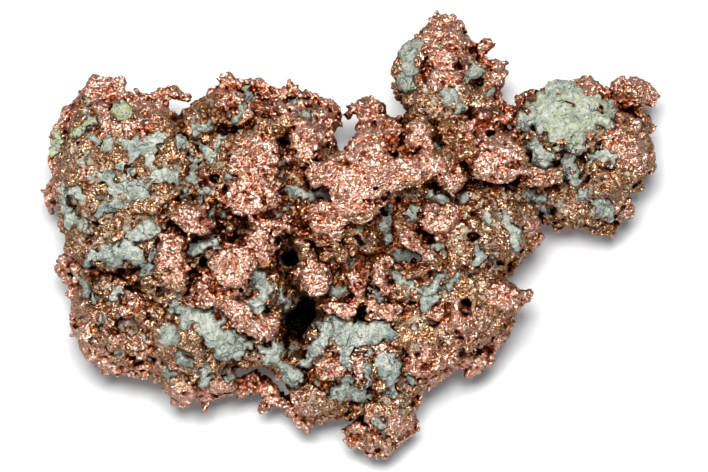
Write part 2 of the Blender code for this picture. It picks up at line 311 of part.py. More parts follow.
# A hollow is cut away as the space round a chain of the same kind.
PITS = {
    "window_top": [(-26.4, 19.0, 3.0, 1.15), (-26.4, 19.0, 24.0, 1.15)],
    "window_neck": [(23.6, 15.9, 2.0, 0.8), (23.6, 15.9, 24.0, 0.8)],
    "window_low_a": [(-10.6, -22.1, 1.0, 1.0), (-10.6, -22.1, 24.0, 1.0)],
    "window_low_b": [(-13.2, -20.4, 1.0, 0.75), (-13.2, -20.4, 24.0, 0.75)],
    "window_low_c": [(-15.4, -20.2, 1.0, 0.6), (-15.4, -20.2, 24.0, 0.6)],
    "window_low_d": [(-11.9, -20.8, 1.0, 0.8), (-11.9, -20.8, 24.0, 0.8)],
    "bottom_notch": [(-0.8, -27.9, 0.0, 0.5), (-0.8, -27.9, 24.0, 0.5)],
    "bottom_notch_deep": [(0.6, -27.8, 4.0, 0.5), (0.6, -27.8, 24.0, 0.5)],
    "slot_a": [(-9.9, 14.0, 22.0, 0.9), (-10.3, 12.6, 20.5, 0.95), (-11.4, 10.9, 20.0, 0.9)],
    "slot_a_deep": [(-9.9, 14.0, 26.0, 0.8), (-11.4, 10.9, 26.0, 0.8)],
    "slot_b": [(-7.2, 8.8, 22.0, 0.7), (-5.6, 7.9, 20.5, 0.9), (-4.4, 6.3, 20.0, 0.9)],
    "slot_c": [(7.8, 16.2, 20.0, 0.7), (7.7, 13.5, 20.0, 0.75), (7.6, 11.4, 20.5, 0.7)],
    "slot_c_open": [(7.8, 16.2, 24.0, 0.7), (7.6, 11.8, 25.0, 0.7)],
    "cave_a": [(20.9, 7.5, 19.0, 1.1), (19.5, 6.8, 18.0, 1.2), (17.8, 4.8, 19.0, 1.0)],
    "cave_a_open": [(20.6, 7.5, 24.0, 0.9), (17.8, 4.7, 24.0, 0.9)],
    "cave_b": [(12.7, 8.6, 21.0, 0.9), (12.3, 6.8, 21.0, 0.8)],
    "cave_c": [(7.0, 5.6, 22.0, 0.7), (7.0, 5.6, 17.0, 0.6)],
    "cave_d": [(4.8, 4.0, 23.0, 0.8), (5.0, 3.4, 21.0, 0.8)],
    "pin_a": [(3.9, 6.95, 31.0, 0.38), (3.9, 6.95, 26.0, 0.38)],
    "cave_e": [(20.3, 14.9, 20.0, 0.7), (21.3, 14.4, 15.0, 0.75)],
    "cave_f": [(17.6, 18.3, 19.0, 0.9), (18.8, 16.5, 17.0, 0.9)],
    "pin_b": [(16.2, 25.1, 20.0, 0.45), (16.2, 25.1, 14.0, 0.45)],
    "pin_c": [(23.5, 5.2, 24.0, 0.6), (23.6, 5.2, 17.0, 0.6)],
    "pin_d": [(15.9, -13.9, 20.0, 0.5), (15.9, -13.9, 14.0, 0.5)],
    "cave_g": [(17.2, -10.6, 19.0, 0.8), (18.7, -11.2, 17.0, 1.0), (20.4, -11.8, 17.0, 0.9)],
    "cave_h": [(10.8, -13.5, 20.0, 0.6), (12.5, -13.1, 18.0, 0.7)],
    "crease_a": [(13.6, -3.5, 23.0, 0.4), (14.8, -4.8, 22.0, 0.4)],
    "slot_d": [(-19.7, -5.2, 25.0, 0.55), (-19.1, -7.0, 24.0, 0.6), (-18.8, -8.6, 24.0, 0.5)],
    "slot_d_deep": [(-19.7, -5.2, 24.5, 0.5), (-19.6, -5.4, 21.0, 0.5), (-18.9, -8.4, 20.0, 0.5)],
    "pin_e": [(-21.6, -3.9, 25.0, 0.8), (-21.6, -4.1, 19.0, 0.8)],
    "pin_f": [(-23.3, -5.9, 25.0, 0.9), (-23.2, -6.0, 20.5, 0.9)],
    "dip_a": [(-24.3, -8.9, 22.5, 1.3), (-23.9, -8.2, 23.5, 0.9)],
    "hole_b": [(-8.9, -1.9, 25.0, 0.8), (-9.3, -3.0, 20.0, 0.95), (-8.9, -4.0, 15.0, 0.95)],
    "hole_b_open": [(-9.3, -3.4, 25.0, 0.8), (-9.2, -3.2, 12.0, 0.8)],
    "chasm_a": [(-6.9, -9.3, 22.0, 1.2), (-6.9, -11.2, 12.0, 1.8)],
    "chasm_b": [(-7.0, -11.4, 22.0, 1.7), (-8.0, -13.2, 8.0, 1.7)],
    "chasm_c": [(-8.4, -13.8, 22.0, 1.4), (-8.6, -15.6, 9.0, 1.3), (-8.9, -16.6, 22.0, 0.8)],
    "crease_b": [(-2.4, -5.2, 22.5, 0.6), (-1.8, -7.3, 20.5, 0.7)],
    "pin_g": [(1.6, -11.2, 21.0, 0.6), (1.7, -11.4, 17.0, 0.6)],
    "cave_i": [(-20.3, 0.8, 23.0, 0.8), (-20.0, 0.3, 20.5, 0.9)],
    "crease_c": [(-20.2, 8.6, 23.0, 0.5), (-19.6, 7.6, 22.0, 0.6), (-19.8, 6.5, 22.0, 0.5)],
    "cave_j": [(-16.5, 2.1, 22.5, 0.55), (-16.0, 0.9, 22.0, 0.6)],
    "undercut": [(-40.0, -5.0, 14.0, 0.6), (-37.5, -5.2, 15.5, 0.8), (-34.5, -5.6, 16.0, 0.6)],
    "dip_b": [(-34.6, -12.4, 17.5, 1.0), (-32.6, -14.2, 17.0, 1.1)],
    "crease_d": [(-30.3, -17.6, 15.5, 0.5), (-28.2, -18.3, 14.5, 0.5)],
    "crease_e": [(-14.8, 18.0, 19.5, 0.7), (-14.2, 19.8, 17.0, 0.8), (-14.8, 15.8, 21.0, 0.5)],
    "cave_k": [(3.8, 16.7, 18.0, 0.5), (3.9, 16.5, 13.8, 0.5)],
    "cave_l": [(26.6, 11.3, 18.0, 0.7), (26.3, 11.9, 15.0, 0.7)],
    "cave_m": [(34.2, 11.3, 18.0, 0.5), (34.3, 11.0, 15.5, 0.5)],
    "crease_f": [(29.8, 3.2, 14.0, 0.6), (30.3, 3.5, 11.0, 0.6)],
}

# How finely the shape is worked out, in metres.
FUSE_CELL = 0.8 * MM
SKIN_CELL = 0.7 * MM
HOLLOW_CELL = 0.5 * MM
RELIEF_DEPTH = 0.9 * MM
RELIEF_SIZE = 2.6 * MM
# The level of the noise that leaves the skin where it was: below a half, the skin swells a little.
RELIEF_LEVEL = 0.3
SMOOTH_ROUNDS = 1
FACE_SHARE = 0.12

# The block that levels the feet reaches past the nugget on every side.
TABLE_BLOCK = (120.0 * MM, 90.0 * MM, 10.0 * MM)


def clear_scene():
    """Remove every object that the scene starts with."""
    for thing in list(bpy.data.objects):
        bpy.data.objects.remove(thing, do_unlink=True)


def new_collection(name):
    """Make a collection and hang it on the scene."""
    group = bpy.data.collections.new(name)
    bpy.context.scene.collection.children.link(group)
    return group


def copper_material():
    """Native copper: bright, rough metal of a warm pink-brown."""
    material = bpy.data.materials.new("native copper")
    material.use_nodes = True
    shader = material.node_tree.nodes["Principled BSDF"]
    shader.inputs["Base Color"].default_value = (0.60, 0.27, 0.18, 1.0)
    shader.inputs["Metallic"].default_value = 0.9
    shader.inputs["Roughness"].default_value = 0.42
    return material


def add_mass(bm, mass):
    """Add one egg-shaped lump."""
    centre, half_lengths = Vector(mass[:3]) * MM, Vector(mass[3:]) * MM
    place = Matrix.Translation(centre) @ Matrix.Diagonal((*half_lengths, 1.0))
    bmesh.ops.create_icosphere(bm, subdivisions=4, radius=1.0, matrix=place)


def add_chain(bm, knots):
    """Add a ball at each knot of a chain, and a tapered bar from each knot to the next."""
    for x, y, z, radius in knots:
        place = Matrix.Translation(Vector((x, y, z)) * MM)
        bmesh.ops.create_icosphere(bm, subdivisions=2, radius=radius * MM, matrix=place)
    for start, end in zip(knots, knots[1:]):
        a, b = Vector(start[:3]) * MM, Vector(end[:3]) * MM
        turn = Vector((0, 0, 1)).rotation_difference(b - a).to_matrix().to_4x4()
        place = Matrix.Translation((a + b) / 2) @ turn
        bmesh.ops.create_cone(bm, cap_ends=True, segments=14, radius1=start[3] * MM,
                              radius2=end[3] * MM, depth=(b - a).length, matrix=place)


def mesh_of(items, add):
    """Build each item's primitives in a mesh of their own."""
    bm = bmesh.new()
    for item in items:
        add(bm, item)
    mesh = bpy.data.meshes.new("primitives")
    bm.to_mesh(mesh)
    bm.free()
    return mesh


def object_from(meshes, name, group):
    """Gather the meshes in one object of a collection."""
    bm = bmesh.new()
    for mesh in meshes:
        bm.from_mesh(mesh)
        bpy.data.meshes.remove(mesh)
    gathered = bpy.data.meshes.new(name)
    bm.to_mesh(gathered)
    bm.free()
    thing = bpy.data.objects.new(name, gathered)
    group.objects.link(thing)
    return thing


def fuse(thing, cell):
    """Melt overlapping primitives into one closed skin."""
    melt = thing.modifiers.new("fuse", "REMESH")
    melt.mode = "VOXEL"
    melt.voxel_size = cell
    return melt


def make_lump(group):
    """All the masses and chains, melted into one."""
    meshes = [mesh_of(masses, add_mass) for masses in MASSES.values()]
    meshes += [mesh_of([knots], add_chain) for knots in CHAINS.values()]
    lump = object_from(meshes, "nugget", group)
    fuse(lump, FUSE_CELL)
    return lump


def make_hollows(group):
    """The cutter for the hollows, melted into one so that it cuts cleanly."""
    hollows = object_from([mesh_of([knots], add_chain) for knots in PITS.values()], "hollows", group)
    fuse(hollows, HOLLOW_CELL)
    return hide_cutter(hollows)


def make_table_block(group):
    """The cutter below the table's level, which leaves flat feet at Z = 0."""
    return hide_cutter(object_from([mesh_of([TABLE_BLOCK], add_block)], "table_block", group))


def add_block(bm, size):
    """Add a block whose top is at the table's level."""
    drop = Matrix.Translation((0.0, 0.0, -size[2] / 2))
    bmesh.ops.create_cube(bm, size=1.0, matrix=drop @ Matrix.Diagonal((*size, 1.0)))


def hide_cutter(cutter):
    """Show a cutter as wire only, and never in a render."""
    cutter.display_type = "WIRE"
    cutter.hide_render = True
    return cutter


def cut(thing, cutter, name):
    """Take a cutter's space out of a piece."""
    trim = thing.modifiers.new(name, "BOOLEAN")
    trim.operation = "DIFFERENCE"
    trim.solver = "EXACT"
    trim.object = cutter


def roughen(lump):
    """Round the sharp joins and give the skin the uneven relief of grown metal."""
    ease = lump.modifiers.new("ease", "SMOOTH")
    ease.iterations = SMOOTH_ROUNDS
    ease.factor = 0.5
    clouds = bpy.data.textures.new("relief", "CLOUDS")
    clouds.noise_scale = RELIEF_SIZE
    clouds.noise_depth = 1
    relief = lump.modifiers.new("relief", "DISPLACE")
    relief.texture = clouds
    relief.texture_coords = "LOCAL"
    relief.strength = RELIEF_DEPTH
    relief.mid_level = RELIEF_LEVEL


def thin_out(lump):
    """Keep a share of the faces, where the shape needs them most."""
    thin = lump.modifiers.new("thin out", "DECIMATE")
    thin.ratio = FACE_SHARE


def main():
    clear_scene()
    parts = new_collection("copper nugget")
    cutters = new_collection("cutters")
    nugget = make_lump(parts)
    nugget.data.materials.append(copper_material())
    cut(nugget, make_hollows(cutters), "hollows")
    fuse(nugget, SKIN_CELL)
    roughen(nugget)
    thin_out(nugget)
    cut(nugget, make_table_block(cutters), "level feet")
    nugget.data.shade_smooth()


main()
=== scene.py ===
import functools

import bpy
import numpy as np
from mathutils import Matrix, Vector


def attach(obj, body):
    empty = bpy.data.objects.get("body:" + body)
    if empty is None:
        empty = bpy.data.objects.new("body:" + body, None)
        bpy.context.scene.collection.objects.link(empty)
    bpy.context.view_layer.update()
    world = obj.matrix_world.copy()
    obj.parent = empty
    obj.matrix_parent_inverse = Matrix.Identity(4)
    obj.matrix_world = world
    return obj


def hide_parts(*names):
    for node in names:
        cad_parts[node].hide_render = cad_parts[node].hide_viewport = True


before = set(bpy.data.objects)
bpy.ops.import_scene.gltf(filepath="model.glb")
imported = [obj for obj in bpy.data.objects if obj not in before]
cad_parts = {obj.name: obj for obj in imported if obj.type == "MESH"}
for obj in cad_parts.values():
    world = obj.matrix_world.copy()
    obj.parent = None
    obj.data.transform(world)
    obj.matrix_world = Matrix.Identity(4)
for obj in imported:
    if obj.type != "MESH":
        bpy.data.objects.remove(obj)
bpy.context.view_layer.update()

bl_info = {
    "name": "Native copper nugget",
    "version": (1, 0, 0),
    "blender": (4, 5, 0),
    "location": "View3D > Sidebar > Nugget",
    "description": "Grows a hackly nugget of native copper with pale mineral crust in its hollows",
    "category": "Mesh",
}

MM = 0.001
SEED = 1846
FAR_AWAY = 50.0

# The lattice reaches past the nugget on every side (mm).
LATTICE_LOW = (-49.0, -36.0, -2.0)
LATTICE_HIGH = (49.0, 36.0, 33.0)
SCOUT_CELL = 0.6
WHOLE_CELL = 0.6
CRUST_BELOW_CELL = 0.45
# How far along its normal a point looks for metal in its way (mm).
OPEN_STEPS = (0.8, 1.6, 3.2, 5.0)

# How softly forms melt into each other (mm).
BODY_BLEND = 1.6
LOBE_BLEND = 1.0
CHAIN_BLEND = 0.6
KNOB_BLEND = 0.35
WORN_BLEND = 0.5
PIT_BLEND = 0.25
HOLLOW_BLEND = 0.5
# The heights of a notch's two ends (mm).
NOTCH_FOOT = 1.0
NOTCH_TOP = 26.0
# A worn lobe narrows to a neck.
NECK_SHARE = 0.45
NECK_LEVEL = 0.22
NECK_HEIGHT = 1.4
# A skin with fewer points than this is a crumb and is dropped.
LEAST_BODY = 600
LEAST_LOBE = 80
LEAST_CRUST = 30
MOST_TRIANGLES = 190000

# Knobs and pits are mostly near their least size, and each narrows to this share at its tip.
SMALL_BIAS = 1.8
TIP_SHARE = 0.72

# Whole numbers that stir the bits of a place, so that the same place always gives the same noise.
PLACE_FACTORS = tuple(np.uint32(n) for n in (374761393, 668265263, 2147483647))
SEED_FACTOR = np.uint32(1274126177)
STIRS = ((np.uint32(13), np.uint32(1103515245)), (np.uint32(16), np.uint32(2246822519)))
LAST_SHIFT = np.uint32(15)
NOISE_ORIGIN = 1000.0
NOISE_GAIN = 1.3
CREASE_GAIN = 2.2
CREASE_TOP = 1.2
CREASE_MEAN = 0.45

# The crust: how soft its base is, how deep its plates go, how far the copper sinks below it, and how far
# inside a patch no knob grows (mm). It lies above this level on the upper face and below it underneath.
CRUST_BASE_BLEND = 3.0
CRUST_RIM_BLEND = 1.0
CRUST_ROOT = 1.6
CRUST_SINK = 0.7
CRUST_LIFT = 0.05
CRUST_EDGE = 0.9
CRUST_EDGE_DROP = 0.6
CRUST_STEEPNESS = 0.7
CRUST_CLEAR = -0.1
CRUST_CHIPS = 0.1
CRUST_LEVEL = 9.0
CRUST_BELOW_TOP = 5.0
# Its sides end unevenly, this far above that level.
CRUST_HEM = 1.8
DRIP = 1.6
# Its ragged edge: two pushes, a row of creases and fine waves, each with a size and an amount (mm).
EDGE_PUSHES = ((3.1, 1.1), (1.0, 0.8))
EDGE_CREASE = (1.5, 0.5)
EDGE_WAVE = (0.55, 0.4)
# Its lumps: waves, creases and fine creases, each with a size and an amount (mm).
CRUST_WAVE = (2.6, 0.45)
CRUST_CREASE = (1.7, 0.4)
CRUST_GRAIN = (0.8, 0.22)
CRUST_GRAIN_PUSH = 0.3

# What grows on each copper piece. A kind of knob or pit is (how many, least radius, greatest radius,
# share sunk, length in radii, share it may stand up). The bend is (size, amount) and the relief is
# (sizes, amounts, stretch along X). All are in millimetres.
BODY_GROWTH = {
    "blend": BODY_BLEND,
    "knobs": [(1100, 0.7, 1.6, 0.45, 0.7, 1.0), (900, 0.35, 0.6, 0.3, 3.5, 0.2),
              (3600, 0.3, 0.65, 0.1, 0.9, 1.0)],
    "pits": [(1300, 0.3, 0.75, 0.1, 1.4, 1.0)],
    "bend": (4.0, 0.5),
    "relief": ((4.2, 2.2, 1.1, 0.6), (0.7, 0.55, 0.34, 0.16), 1.0),
}
LOBE_GROWTH = {
    "blend": 1.3,
    "knobs": [(60, 0.5, 0.9, 0.5, 1.2, 0.4), (420, 0.3, 0.5, 0.5, 6.0, 0.1),
              (140, 0.2, 0.42, 0.2, 1.0, 1.0)],
    "pits": [(150, 0.2, 0.5, 0.1, 1.6, 1.0), (300, 0.15, 0.3, -0.1, 6.0, 0.1)],
    "bend": (3.0, 0.5),
    "relief": ((3.0, 1.6, 0.8, 0.45), (0.6, 0.5, 0.3, 0.14), 1.8),
}
RIM_GROWTH = {
    "blend": 0.9,
    "knobs": [(420, 0.4, 0.9, 0.5, 0.8, 1.0), (500, 0.25, 0.4, 0.3, 4.0, 0.2),
              (1500, 0.2, 0.42, 0.1, 1.4, 1.0)],
    "pits": [(420, 0.2, 0.45, 0.1, 1.2, 1.0)],
    "bend": (2.6, 0.6),
    "relief": ((2.0, 1.0, 0.5), (0.4, 0.28, 0.14), 1.0),
}
RIM_BLUSH = 0.5

# The copper finishes: how far the glints lean, roughness, size of a glint (mm), size and height of a fold
# (mm), and how much mineral film lies in the creases.
COPPER_FINISHES = {
    "brown hackly copper": (0.62, 0.3, 0.2, (0.75, 0.09), 0.55),
    "bright worn copper": (0.52, 0.31, 0.22, (0.8, 0.11), 0.1),
    "rim copper": (0.6, 0.3, 0.21, (0.75, 0.1), 0.12),
}

# The glints and folds are longer along X.
GLINT_STRETCH = (0.6, 1.0, 1.0)
# Besides the small cells there are plates, this much wider apart.
PLATE_SCALE = 0.4

# What steep metal facets keep of the light.
EDGE_TINT = (1.0, 0.72, 0.56, 1.0)
# Painted shade: the black painted over the copper at the bottom of a hollow.
HOLLOW_SHADE_BLACK = (0.01, 0.005, 0.003, 1.0)

# Clouds and grain of the finishes: bumps to the metre, detail and roughness.
CLOUDS = (900.0, 5.0, 0.75)
DAMP = (360.0, 5.0, 0.7)
YELLOWS = (800.0, 3.0)
SPECKS = (2100.0, 3.0, 0.75)
CRACKED = (260.0, 1.0)
CRUMBS = (1500.0, 4.0, 0.75)
CRACK_SCALE = 300.0
LUMP_SCALE = 1300.0
CRUST_BUMP = 0.0007
CRUST_ROUGHNESS = 0.85
MOTTLE = (600.0, 4.0, 0.6)
GILDING = (900.0, 3.0)
FILM = (750.0, 3.0, 0.6)
SCRATCHES = (2600.0, 2.0, 0.6)
EDGE_BAND_NOISE = (1600.0, 3.0)
FLOOR_TOOTH = (300.0, 2.0)
FLOOR_ROUGHNESS = 0.9
# What pushes the cells about: bumps to the metre, detail and how far (m).
GLINT_PUSH = (1100.0, 1.0, 0.0016)
CRACK_PUSH = (700.0, 2.0, 0.0022)
# The folds of crumpled copper: share of the scale, detail and distortion of the crests and of the creases.
FOLDS = ((1.0, 1.5, 0.8), (0.6, 1.0, 1.2))
CREASE_DEPTH = 1.3

# The studio (m).
FLOOR_REACH = 1.5
CAMERA_HEIGHT = 1.2
EYE_LEVEL = 0.012
SENSOR = 36.0
VIEW_WIDTH = 0.1062
VIEW_CENTRE = (0.000525, -0.000075)
CLIP = (0.05, 5.0)
AIR_LIGHT = 0.05
AIR_COLOUR = (0.93, 0.96, 1.0, 1.0)
# How much of the floor's brightness the metal mirrors: a painted reflection, the floor's colour made
# darker for glossy rays as if dark cards stood round the nugget, out of sight, though none are there.
FLOOR_MIRRORED = 0.36
FLOOR_BRIGHTEST = 1.02
# Each light: its name, place, width and height, power in watts and colour.
COOL = (0.92, 0.96, 1.0)
LIGHTS = (
    ("key softbox", (-0.03, 0.155, 0.64), (0.29, 0.2), 6.7, (1.0, 0.995, 0.98)),
    ("lower strip", (0.0, -0.6, 0.1), (0.5, 0.12), 1.5, COOL),
    ("left strip", (-0.6, 0.0, 0.1), (0.12, 0.4), 1.0, COOL),
    ("right strip", (0.6, 0.0, 0.1), (0.12, 0.4), 0.9, COOL),
)
# The tables below are in millimetres: X along the nugget, Y across it, Z up from the table.
# A mass is an egg-shaped lump: its centre (x, y, z), then its half length along X, Y and Z.
MASSES = {
    "left_dome": [
        (-31.5, 8, 12.5, 12.6, 11.5, 11.3), (-35, 14, 12, 8, 6.6, 8), (-33, 1, 12, 9.6, 6.6, 9.8),
        (-26.5, 11.5, 19.5, 3.2, 3.2, 4), (-27.5, 5.8, 20.5, 3.4, 2.3, 3.8),
        (-36.8, 17.2, 16.5, 2.5, 2.4, 3.6), (-31.5, 16.4, 18, 2.4, 1.8, 3),
        (-34, 18.4, 18.3, 1.3, 1.3, 1.6), (-35.8, 9.2, 20.6, 1.7, 1.4, 1.6), (-34.5, -2.6, 18, 5, 2, 2.6),
        (-30, -0.3, 19.8, 2.4, 2.2, 2.2), (-39.3, 5.5, 16.5, 2.6, 3, 3.4),
    ],
    "lower_left": [
        (-33, -12.5, 9.5, 8.2, 7.2, 8.5), (-24, -14, 10.5, 8.6, 7.8, 9.5), (-24, -20, 8.5, 4.6, 3.8, 5.5),
        (-39, -13, 13, 2.1, 3.4, 3), (-36, -8, 15, 3.2, 2.2, 3), (-35, -17.3, 11, 3.6, 2.2, 3.5),
        (-30, -18.2, 11, 3, 2, 3.5), (-26.9, -14.6, 18, 1.9, 1.8, 2.3), (-20.3, -13.8, 18.3, 5, 2.6, 2.6),
        (-24, -17.3, 15, 3, 1.6, 3), (-25, -22.3, 10.5, 2.3, 2, 3.5), (-20, -21.3, 11.5, 2.8, 2, 3.5),
        (-12, -17.2, 16.8, 2.5, 2.1, 2.2),
    ],
    "centre_left": [
        (-19, -6, 13, 8, 8, 10.5), (-18, 9, 13, 8.2, 8.5, 10.8), (-17.5, 17.3, 12, 6, 4.3, 6.5),
        (-22.5, 17.2, 18, 2.5, 2.2, 3.5), (-17.2, 18.6, 17.8, 2.9, 2.8, 3.6), (-26, -7, 14, 6, 5, 7),
        (-18.5, 1.2, 20.5, 1.9, 1.6, 3.2),
    ],
    "centre": [
        (-7.5, 7, 12, 8, 8, 9.5), (1, 3, 13, 8.5, 8, 10.5), (9, 9.5, 13.5, 8, 6.6, 10.5),
        (-8, 16.8, 12.5, 6, 3.6, 6.5), (-5, -3, 14, 5, 5, 8), (-8, 6.2, 18.5, 2.6, 2.2, 2.6),
    ],
    "right_centre": [
        (14, 0, 13, 9, 8.6, 10), (21, 4, 12.5, 6.8, 6.6, 9.5), (22, 11.5, 13, 4.8, 4.2, 9),
        (17, -9, 11, 7.6, 7.6, 8.8), (19.2, -0.2, 18.8, 6.6, 5, 4.6), (8.5, -6, 16, 6, 5, 6),
    ],
    "middle": [
        (-8, -9, 6.5, 8.5, 9, 6), (-13.2, -9, 14, 3.2, 6, 7.6), (3, -7.6, 13, 5.2, 5, 8.2),
        (-13.6, -16.6, 11, 4.4, 2.9, 6.4), (-9.2, -18.6, 10.5, 2.7, 3.3, 5.4), (8.6, -21.2, 8.5, 3, 2.8, 5),
        (19, 17, 9.5, 4.2, 4.4, 6.6), (-39.4, -6.6, 9, 2.6, 2.6, 3.4), (-1.6, -9.2, 14.5, 2.6, 3.2, 5),
        (3.6, 17, 11.5, 1.6, 1.6, 1.8), (0.6, -27.2, 7.4, 2.2, 1.6, 2.2), (-9, -2.2, 10, 4.4, 5, 5.4),
    ],
    "underside": [
        (-29, 6, 8, 10.5, 9.5, 8.4), (-22, -12, 8, 8.5, 8, 7.6), (-12, 10, 8.5, 8.5, 7, 7.4),
        (6, 3, 8.2, 10, 9, 7.3), (3.5, -17.5, 7.6, 7, 6.5, 7.9), (20.5, 6, 8, 8, 7.6, 6.6),
        (34.5, 11, 7.4, 7.6, 7.4, 7.8), (14, 22, 8.6, 5.6, 6.6, 6.4), (-33, -12, 7, 6, 6, 5.2),
        (17, -9, 7.6, 7, 6.6, 6.2),
    ],
    "bottom": [
        (9, -14, 10.5, 8, 6.5, 9), (0, -17, 10.5, 7, 6.5, 8.8), (-4, -23.3, 8.5, 5, 3.6, 6),
        (5, -26, 8, 4, 4.4, 5.2), (-0.5, -14.8, 17.5, 5.5, 3, 2.6), (4.6, -13.8, 17.5, 3, 2.2, 2.6),
        (4.8, -19.6, 16.8, 2.4, 2, 2.2), (-4.8, -23.6, 13.8, 2.8, 2.2, 3.2), (-8.6, -20, 14.3, 2, 1.7, 2.3),
        (4.2, -30, 8.8, 3.2, 2, 2.6), (7.8, -27, 9, 1.8, 2.1, 2.8),
    ],
    "peak": [
        (13.5, 19.5, 12, 6.2, 5.6, 7.8), (14, 26.8, 11.5, 5, 4.8, 5.6), (20, 23.3, 12.5, 2.6, 2.6, 4.2),
        (8.9, 25.2, 13.8, 1.7, 3.2, 2.8), (15, 19.2, 18.4, 2, 1.4, 2), (19, 20.3, 16.8, 2, 1.6, 2.2),
    ],
    "right_lobe": [
        (31, 15.5, 10, 6.2, 5.4, 7.6), (37.5, 12.5, 9.5, 6.2, 7.6, 7.6), (33, 6.5, 9.5, 6.2, 4.6, 7.2),
        (26.5, 11, 11.5, 4.6, 4, 6.8), (32, 17.4, 16.2, 6.4, 4.9, 3.2), (29.2, 12.2, 17.5, 1.9, 2.2, 2.3),
        (33.2, 9.7, 16.8, 1.4, 2.1, 2), (41.6, 13.2, 13, 2.4, 4.8, 4.4), (37, 7.4, 13.6, 3.6, 2.5, 3.8),
        (36.3, 4.3, 12, 3.2, 1.9, 3.4), (42.2, 21.2, 11, 2, 1.8, 1.9),
    ],
}

# The lobes stand on the masses: bright copper, finer in grain. The last number is how much of the
# upper half is left where the top is worn flat.
LOBES = {
    "lobes": [
        (-13.2, -13.3, 20.6, 2.6, 1.9, 2.6, 0.7), (-14.3, 12.3, 22.4, 3.9, 3.1, 4, 0.66),
        (-14.6, 5.8, 23, 4.5, 3, 4, 0.66), (-17.3, -4.5, 23.6, 3.1, 3.4, 3.9, 0.66),
        (-6.8, 13.3, 21.9, 2.7, 3.4, 4, 0.7), (-3.3, 2.6, 23.7, 3.4, 2.6, 3.4, 0.66),
        (3, 13.1, 21.9, 2.8, 2.3, 3.6, 0.7), (6.2, 14.2, 20.8, 1.4, 2.3, 3.2, 0.8),
        (10.3, 13.7, 22.4, 2.1, 3.2, 4, 0.7), (-5.2, -6.2, 21.7, 2.5, 2.5, 3.4, 0.7),
        (22.2, 10.9, 24.2, 4.1, 3.4, 4.6, 0.66), (13, 2.6, 21.9, 3.3, 2.7, 3.4, 0.7),
        (22.5, -8.9, 15.9, 3.5, 2, 4.2, 0.7), (10.6, -19.3, 13.9, 3.3, 2.1, 4.4, 0.7),
        (14.2, 27, 16.1, 2.9, 2.5, 2.8, 0.7), (14.4, 23.6, 17.4, 2.7, 1.7, 2.7, 0.7),
    ],
    "great_lobe": [
        (0.4, 8.4, 25.6, 4.7, 4, 4.4, 0.62), (1.3, 5, 25.4, 3.4, 2.7, 3.8, 0.62),
        (-3.6, 9.3, 24.8, 3.1, 1.9, 3.4, 0.66), (3.2, 10.9, 25.4, 3.4, 2.5, 3.8, 0.66),
    ],
}

